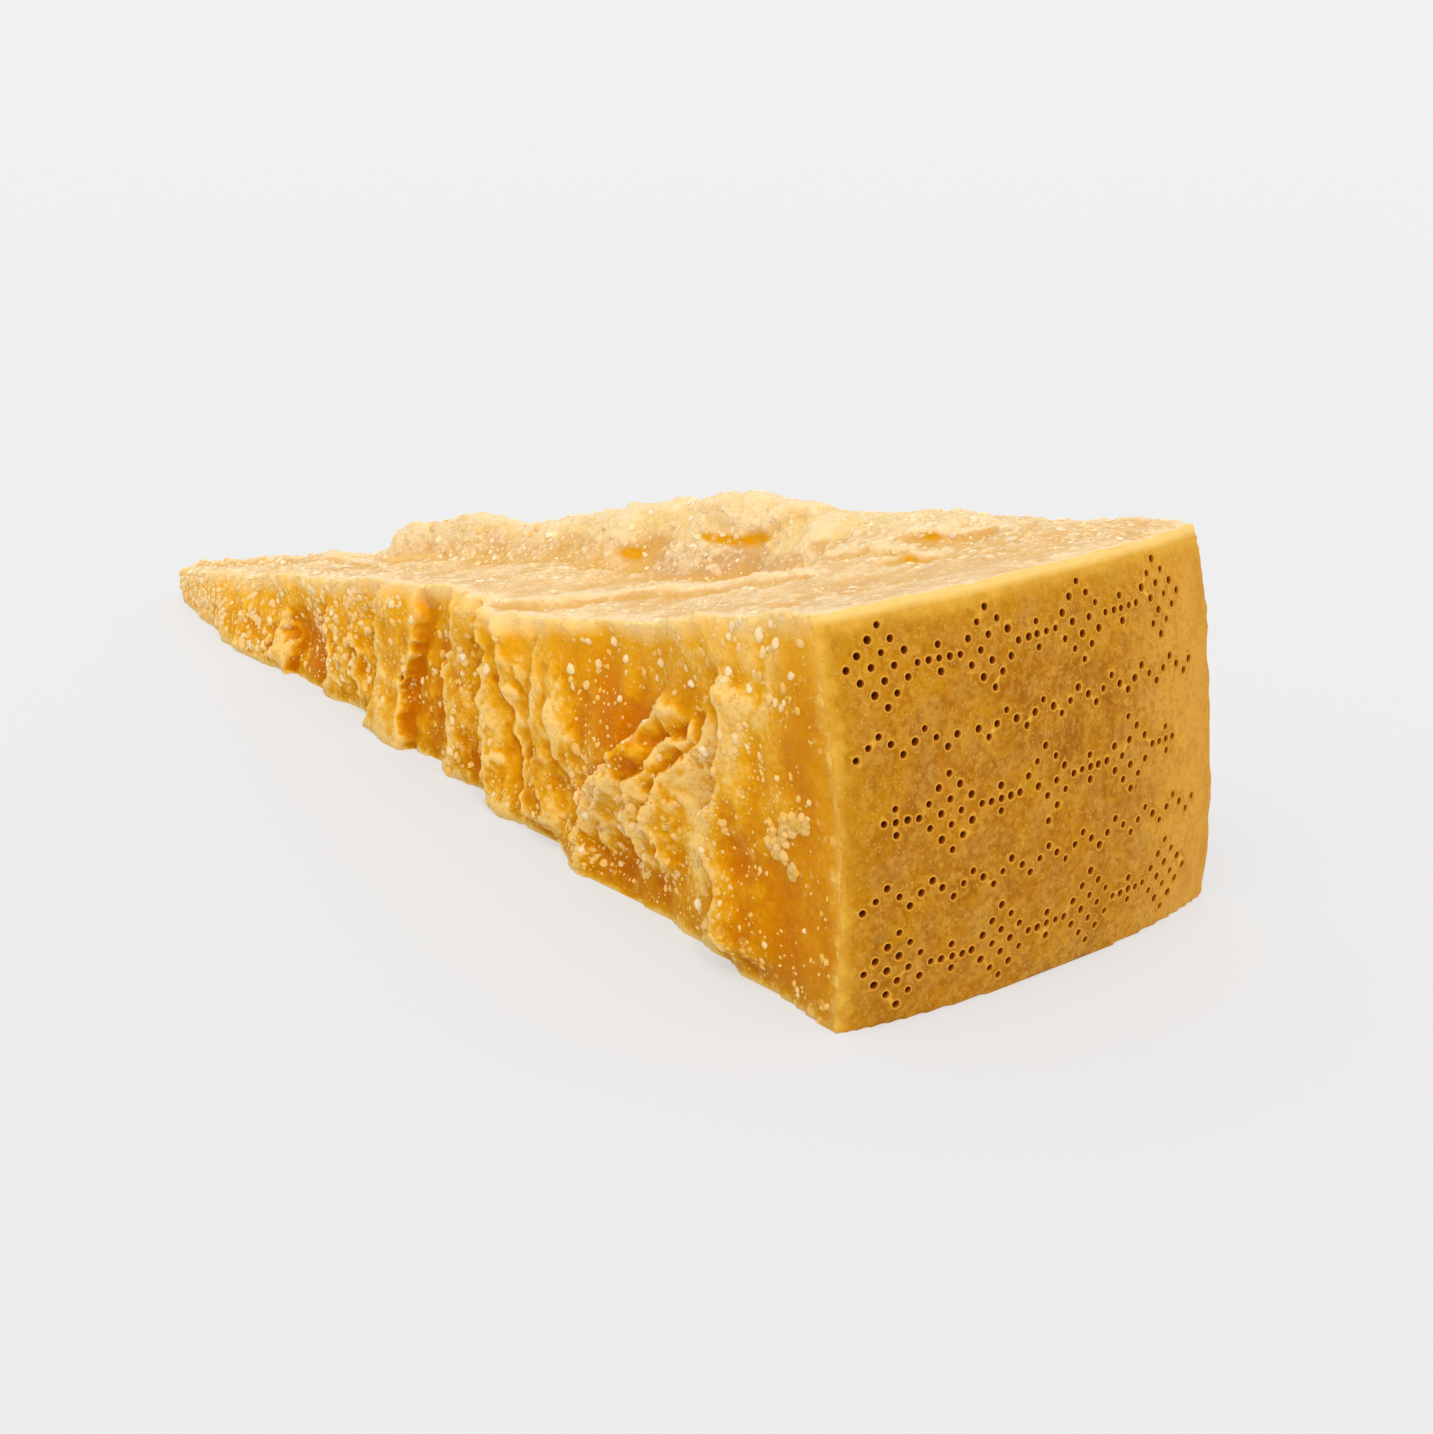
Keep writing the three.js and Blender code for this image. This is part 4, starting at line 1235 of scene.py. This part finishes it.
def paste_material():
    nodes = Nodes("cheese_paste")
    mottle = nodes.noise(3.2)
    fine = nodes.noise(0.7, 3)
    patchy = nodes.noise(7, 3)
    shade = nodes.frayed(nodes.attribute("crest"), nodes.noise(15, 2), 0.12)
    shade = nodes.frayed(nodes.frayed(shade, mottle, 0.12), fine, 0.1)
    under_rind = nodes.frayed(nodes.attribute("under_rind"), mottle, 0.08)
    under_top = nodes.frayed(nodes.attribute("under_top"), patchy, 0.1)
    side = nodes.layered(nodes.ramp(shade, SIDE_RELIEF_SHADING), [
        (NEAR_RIND, under_rind, 0.3, 0.8, 0.35, 0),
        (EDGE_GOLD, under_rind, 0, 0.11, 0.9, 0),
        # painted light under the top edge
        (UPPER_GOLD_GLOW, under_top, 0.1, 0.9, 0.75, 0),
        (SIDE_CREAM_GLOW, under_top, 0.03, 0.3, 0.95, 0),
    ])
    # Painted shade: the side is dimmed a little where lit, darker towards the bottom except on its crests,
    # and darker still just above the base.
    level = nodes.attribute("level")
    lit = nodes.larger(nodes.ranged(level, 0.05, 0.6), nodes.ranged(shade, 0.55, 0.85, 0, 0.8))
    side = nodes.shaded(side, lit, LOW_SHADE, SIDE_LIGHT)
    side = nodes.shaded(side, nodes.ranged(level, 0.03, 0.17), BASE_SHADE, WHITE)
    bank = nodes.attribute("bank")
    # Painted shade and light on the top as well: its hollows browner, its crests a paler cream, the hollows
    # less so on the bank.
    hollow = nodes.times(nodes.ranged(shade, 0.2, 0.48, 0.85, 0), nodes.ranged(bank, 0, 1, 1, 0.5))
    upper = nodes.layered(TOP_PEACH, [
        (TOP_BROWN, nodes.noise(9), 0.42, 0.68, 0, 1),
        (TOP_BROWN, nodes.attribute("along"), 0.5, 0.95, 0, 0.5),
        (BANK_YELLOW, bank, 0, 1, 0, 1),
        (DELL_BROWN, nodes.attribute("dell"), 0.15, 0.6, 0, 0.78),
        (TOP_HOLLOW_SHADE, hollow, 0, 1, 0, 1),
        (TOP_LIT_CREAM, shade, 0.5, 0.75, 0, 0.85),
        # painted shadow in the undercuts
        (UNDERCUT_SHADOW_GOLD, nodes.attribute("undercut_shadow"), 0.1, 0.8, 0, 1),
    ])
    on_top = nodes.attribute("top")
    colour = nodes.mix(on_top, side, upper)
    speck = nodes.mix(on_top, SPECK_TAN, SPECK_CREAM)
    # Fewer pale specks lie where the crest is low, which keeps the painted shade in the hollows dark.
    crowd = nodes.plus(patchy, nodes.ranged(shade, 0.25, 0.75, -0.2, 0.2))
    crowd = nodes.plus(crowd, nodes.times(nodes.attribute("grainy"), 0.18))
    rim = nodes.ranged(under_top, 0.2, 0.9, -0.12, 0)
    more = nodes.node("Mix", 0, {0: on_top, 2: rim, 3: 0.1}, data_type="FLOAT")
    crowd = nodes.ranged(nodes.plus(crowd, more), 0.4, 0.7, 0.06, 1)
    ragged = nodes.ragged_place(0.8, 0.7)
    big = nodes.times(nodes.specks(2.3, 0.4, 0.36, 0.75, ragged), crowd)
    middling = nodes.times(nodes.specks(1.15, 0.45, 0.4, 0.6, ragged), crowd)
    small = nodes.times(nodes.specks(0.55, 0.4), nodes.larger(crowd, 0.3))
    for specks, share in ((big, 0.62), (middling, 0.6), (small, 0.5)):
        colour = nodes.mix(nodes.times(specks, share), colour, speck)
    normal = nodes.bump(nodes.plus(nodes.times(middling, 0.7), nodes.times(small, 0.5)), 0.16, 0.8)
    normal = nodes.bump(nodes.noise(0.7), 0.32, 0.7, Normal=normal)
    rough = nodes.ranged(fine, 0.3, 0.7, 0.26, 0.5)
    return nodes.finish(colour, rough, 0.04, PASTE_GLOW, Normal=normal)


RIND_AMBER = (0.46, 0.17, 0.004)
RIND_DARK = (0.33, 0.11, 0.005)
RIND_GREY = (0.48, 0.225, 0.04)
RIND_PALE = (0.60, 0.295, 0.035)
RIND_PEACH_AND_LIGHT = (0.73, 0.36, 0.045)
RIND_GOLD = (0.58, 0.255, 0.006)
RIND_BRIM_GLOW = (0.87, 0.56, 0.17)
RIND_EDGE = (0.76, 0.42, 0.055)
RIND_ORANGE = (0.55, 0.185, 0.004)
RIND_FLECK = (0.78, 0.48, 0.12)
RIND_GLOW = (0.1, 1.5, (1.0, 0.45, 0.1))
UPRIGHT = (1, 1, 0.3)


def rind_material():
    nodes = Nodes("cheese_rind")
    mottle = nodes.noise(2.2, 6, 0.65)
    # Partly the rind's own colour, partly painted light: towards its far end, where more light falls, the
    # rind is a paler peach with fewer dark pits and more blush.
    far = nodes.attribute("rind_far_light")
    pits = nodes.ranged(nodes.noise(0.9, stretch=(1.1, 1, 1)), 0.5, 0.62, 0, 0.55)
    blush = nodes.ranged(nodes.noise(3.5, 5), 0.54, 0.68)
    edge = nodes.frayed(nodes.attribute("rind_edge"), nodes.noise(6, 5, stretch=UPRIGHT), 0.18)
    edge = nodes.frayed(edge, mottle, 0.18)
    level = nodes.attribute("level")
    flecks = nodes.specks(0.5, 0.45)
    colour = nodes.layered(RIND_AMBER, [
        (RIND_DARK, nodes.noise(14, 6, 0.65), 0.42, 0.58, 0, 1),
        (RIND_GOLD, nodes.noise(8, 5), 0.46, 0.64, 0, 0.7),
        (RIND_GREY, nodes.noise(5, 5), 0.48, 0.66, 0, 0.7),
        (RIND_PALE, mottle, 0.48, 0.62, 0, 0.65),
        (RIND_ORANGE, nodes.noise(4, 5, stretch=UPRIGHT), 0.55, 0.75, 0, 0.45),
        (RIND_PALE, nodes.noise(0.8), 0.48, 0.64, 0, 0.5),
        (RIND_PEACH_AND_LIGHT, far, 0.15, 0.7, 0, 0.78),
        (RIND_DARK, nodes.times(pits, nodes.ranged(far, 0.2, 1, 1, 0.35)), 0, 1, 0, 1),
        (RIND_ORANGE, nodes.times(blush, nodes.ranged(far, 0.4, 1, 0, 0.5)), 0, 1, 0, 1),
        # Partly the rind's own rubbed edges, partly painted light: paler along its edges as a highlight, and
        # pale cream along the top brim as a painted glow.
        (RIND_GOLD, edge, 0.2, 0.8, 0.6, 0),
        (RIND_EDGE, edge, 0, 0.34, 0.9, 0),
        (RIND_EDGE, level, 0.93, 0.965, 0, 0.35),
        (RIND_BRIM_GLOW, level, 0.968, 0.986, 0, 1),
        (RIND_FLECK, flecks, 0, 1, 0, 0.35),
    ])
    normal = nodes.bump(nodes.noise(1.1, 6, 0.65), 0.3, 0.6)
    normal = nodes.bump(flecks, 0.05, 0.5, Normal=normal)
    rough = nodes.ranged(mottle, 0.3, 0.7, 0.4, 0.58)
    return nodes.finish(colour, rough, 0.04, RIND_GLOW, Normal=normal)


# The pin holes: painted shadow in the pits, nearly black, and painted shade on the funnels, a darker brown;
# the raised lips a paler amber, partly the rind's own colour and partly a painted highlight.
HOLE_COLOURS = {
    "hole_funnel_shade_brown": ((0.36, 0.09, 0.001), (0.56, 0.18, 0.004)),
    "hole_pit_shadow": ((0.13, 0.022, 0.0005), (0.26, 0.06, 0.001)),
    "hole_lip_amber_and_highlight": ((0.56, 0.22, 0.015), (0.76, 0.38, 0.05)),
}


def hole_material(name):
    nodes = Nodes(name)
    return nodes.finish(nodes.mix(nodes.noise(0.6), *HOLE_COLOURS[name]), 0.65, 0.05)


CRYSTAL_SHADES = ((0, (0.84, 0.44, 0.07)), (0.4, (0.90, 0.57, 0.23)), (1, (1.0, 0.83, 0.56)))
CRYSTAL_GLOW = (0.3, 1.2, (1.0, 0.7, 0.35))


def crystal_material():
    nodes = Nodes("crystal_white")
    tinted = nodes.ramp(nodes.attribute("tint"), CRYSTAL_SHADES)
    colour = nodes.layered(tinted, [(LIGHT_GOLD, nodes.noise(0.4), 0.35, 0.7, 0, 0.25)])
    return nodes.finish(colour, 0.4, 0.08, CRYSTAL_GLOW)


# ---- the pieces ----

SMOOTH_UNDER = math.radians(38)

body, shift = make_form()
mark_relief(body.data, crumble(body.data))
thin_out(body)
mend(body.data)
for material in (paste_material(), rind_material(), *map(hole_material, ("hole_funnel_shade_brown", "hole_pit_shadow"))):
    body.data.materials.append(material)
middles = read(body.data.polygons, "center") / MM - shift
body.data.polygons.foreach_set("material_index", np.where(rind_depth(middles) < RIND_SKIN, RIND, PASTE))
crystals, loose_grains = make_crystals(body)
crystal_white = crystal_material()
for piece in (crystals, loose_grains):
    piece.data.materials.append(crystal_white)
lips = press_holes(body, wander(np.random.default_rng(SEED + 5), dot_places()))
lips.data.materials.append(hole_material("hole_lip_amber_and_highlight"))
select_only(body)
bpy.ops.object.shade_smooth_by_angle(angle=SMOOTH_UNDER)


# ---- camera, light and floor ----

CAMERA_PLACE = (376.0, -192.6, 115.8)
CAMERA_YAW = math.radians(50.16)
CAMERA_PITCH = math.radians(18.49)
LENS = 60
SENSOR = 36
# The suns: (name, strength, how broad it is, how high it stands, which way), in degrees.
SUNS = [("key", 0.8, 50, 65, -60), ("glint", 0.7, 5, 42, -25)]
SKY = 0.85
# The floor glows a little, like a light table, so that the cheese hardly tints it.
FLOOR_GREY = 0.27
FLOOR_GLOW = 0.5
FLOOR_ROUGH = 0.9
FLOOR_WIDTH = 14


def direction(turn, height):
    flat = math.cos(height)
    return Vector((flat * math.cos(turn), flat * math.sin(turn), math.sin(height)))


def add_aimed(name, data, place, forward):
    thing = bpy.data.objects.new(name, data)
    bpy.context.collection.objects.link(thing)
    thing.location = place
    thing.rotation_euler = forward.to_track_quat("-Z", "Y").to_euler()
    return thing


def add_camera():
    lens = bpy.data.cameras.new("camera")
    lens.lens = LENS
    lens.sensor_width = SENSOR
    lens.clip_start = 0.01
    place = (Vector(CAMERA_PLACE) + Vector(shift)) * MM
    forward = direction(CAMERA_YAW + math.pi / 2, -CAMERA_PITCH)
    bpy.context.scene.camera = add_aimed("camera", lens, place, forward)


def add_sun(name, strength, breadth, height, turn):
    light = bpy.data.lights.new(name, "SUN")
    light.energy = strength
    light.angle = math.radians(breadth)
    towards = direction(math.radians(turn), math.radians(height))
    add_aimed(name, light, towards, -towards)


def add_floor():
    floor = fresh(bpy.ops.mesh.primitive_plane_add, size=FLOOR_WIDTH)
    floor.name = "floor"
    paint = bpy.data.materials.new("floor_white")
    paint.use_nodes = True
    inputs = paint.node_tree.nodes["Principled BSDF"].inputs
    inputs["Base Color"].default_value = (FLOOR_GREY, FLOOR_GREY, FLOOR_GREY, 1)
    inputs["Roughness"].default_value = FLOOR_ROUGH
    inputs["Emission Color"].default_value = (1, 1, 1, 1)
    inputs["Emission Strength"].default_value = FLOOR_GLOW
    floor.data.materials.append(paint)


add_camera()
for sun in SUNS:
    add_sun(*sun)
add_floor()
world = bpy.data.worlds.new("studio")
bpy.context.scene.world = world
world.use_nodes = True
sky = world.node_tree.nodes["Background"].inputs
sky["Color"].default_value = (1, 1, 1, 1)
sky["Strength"].default_value = SKY
bpy.context.scene.view_settings.view_transform = "Standard"

for piece in (body, crystals, loose_grains, lips):
    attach(piece, "root")
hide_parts("cheese")
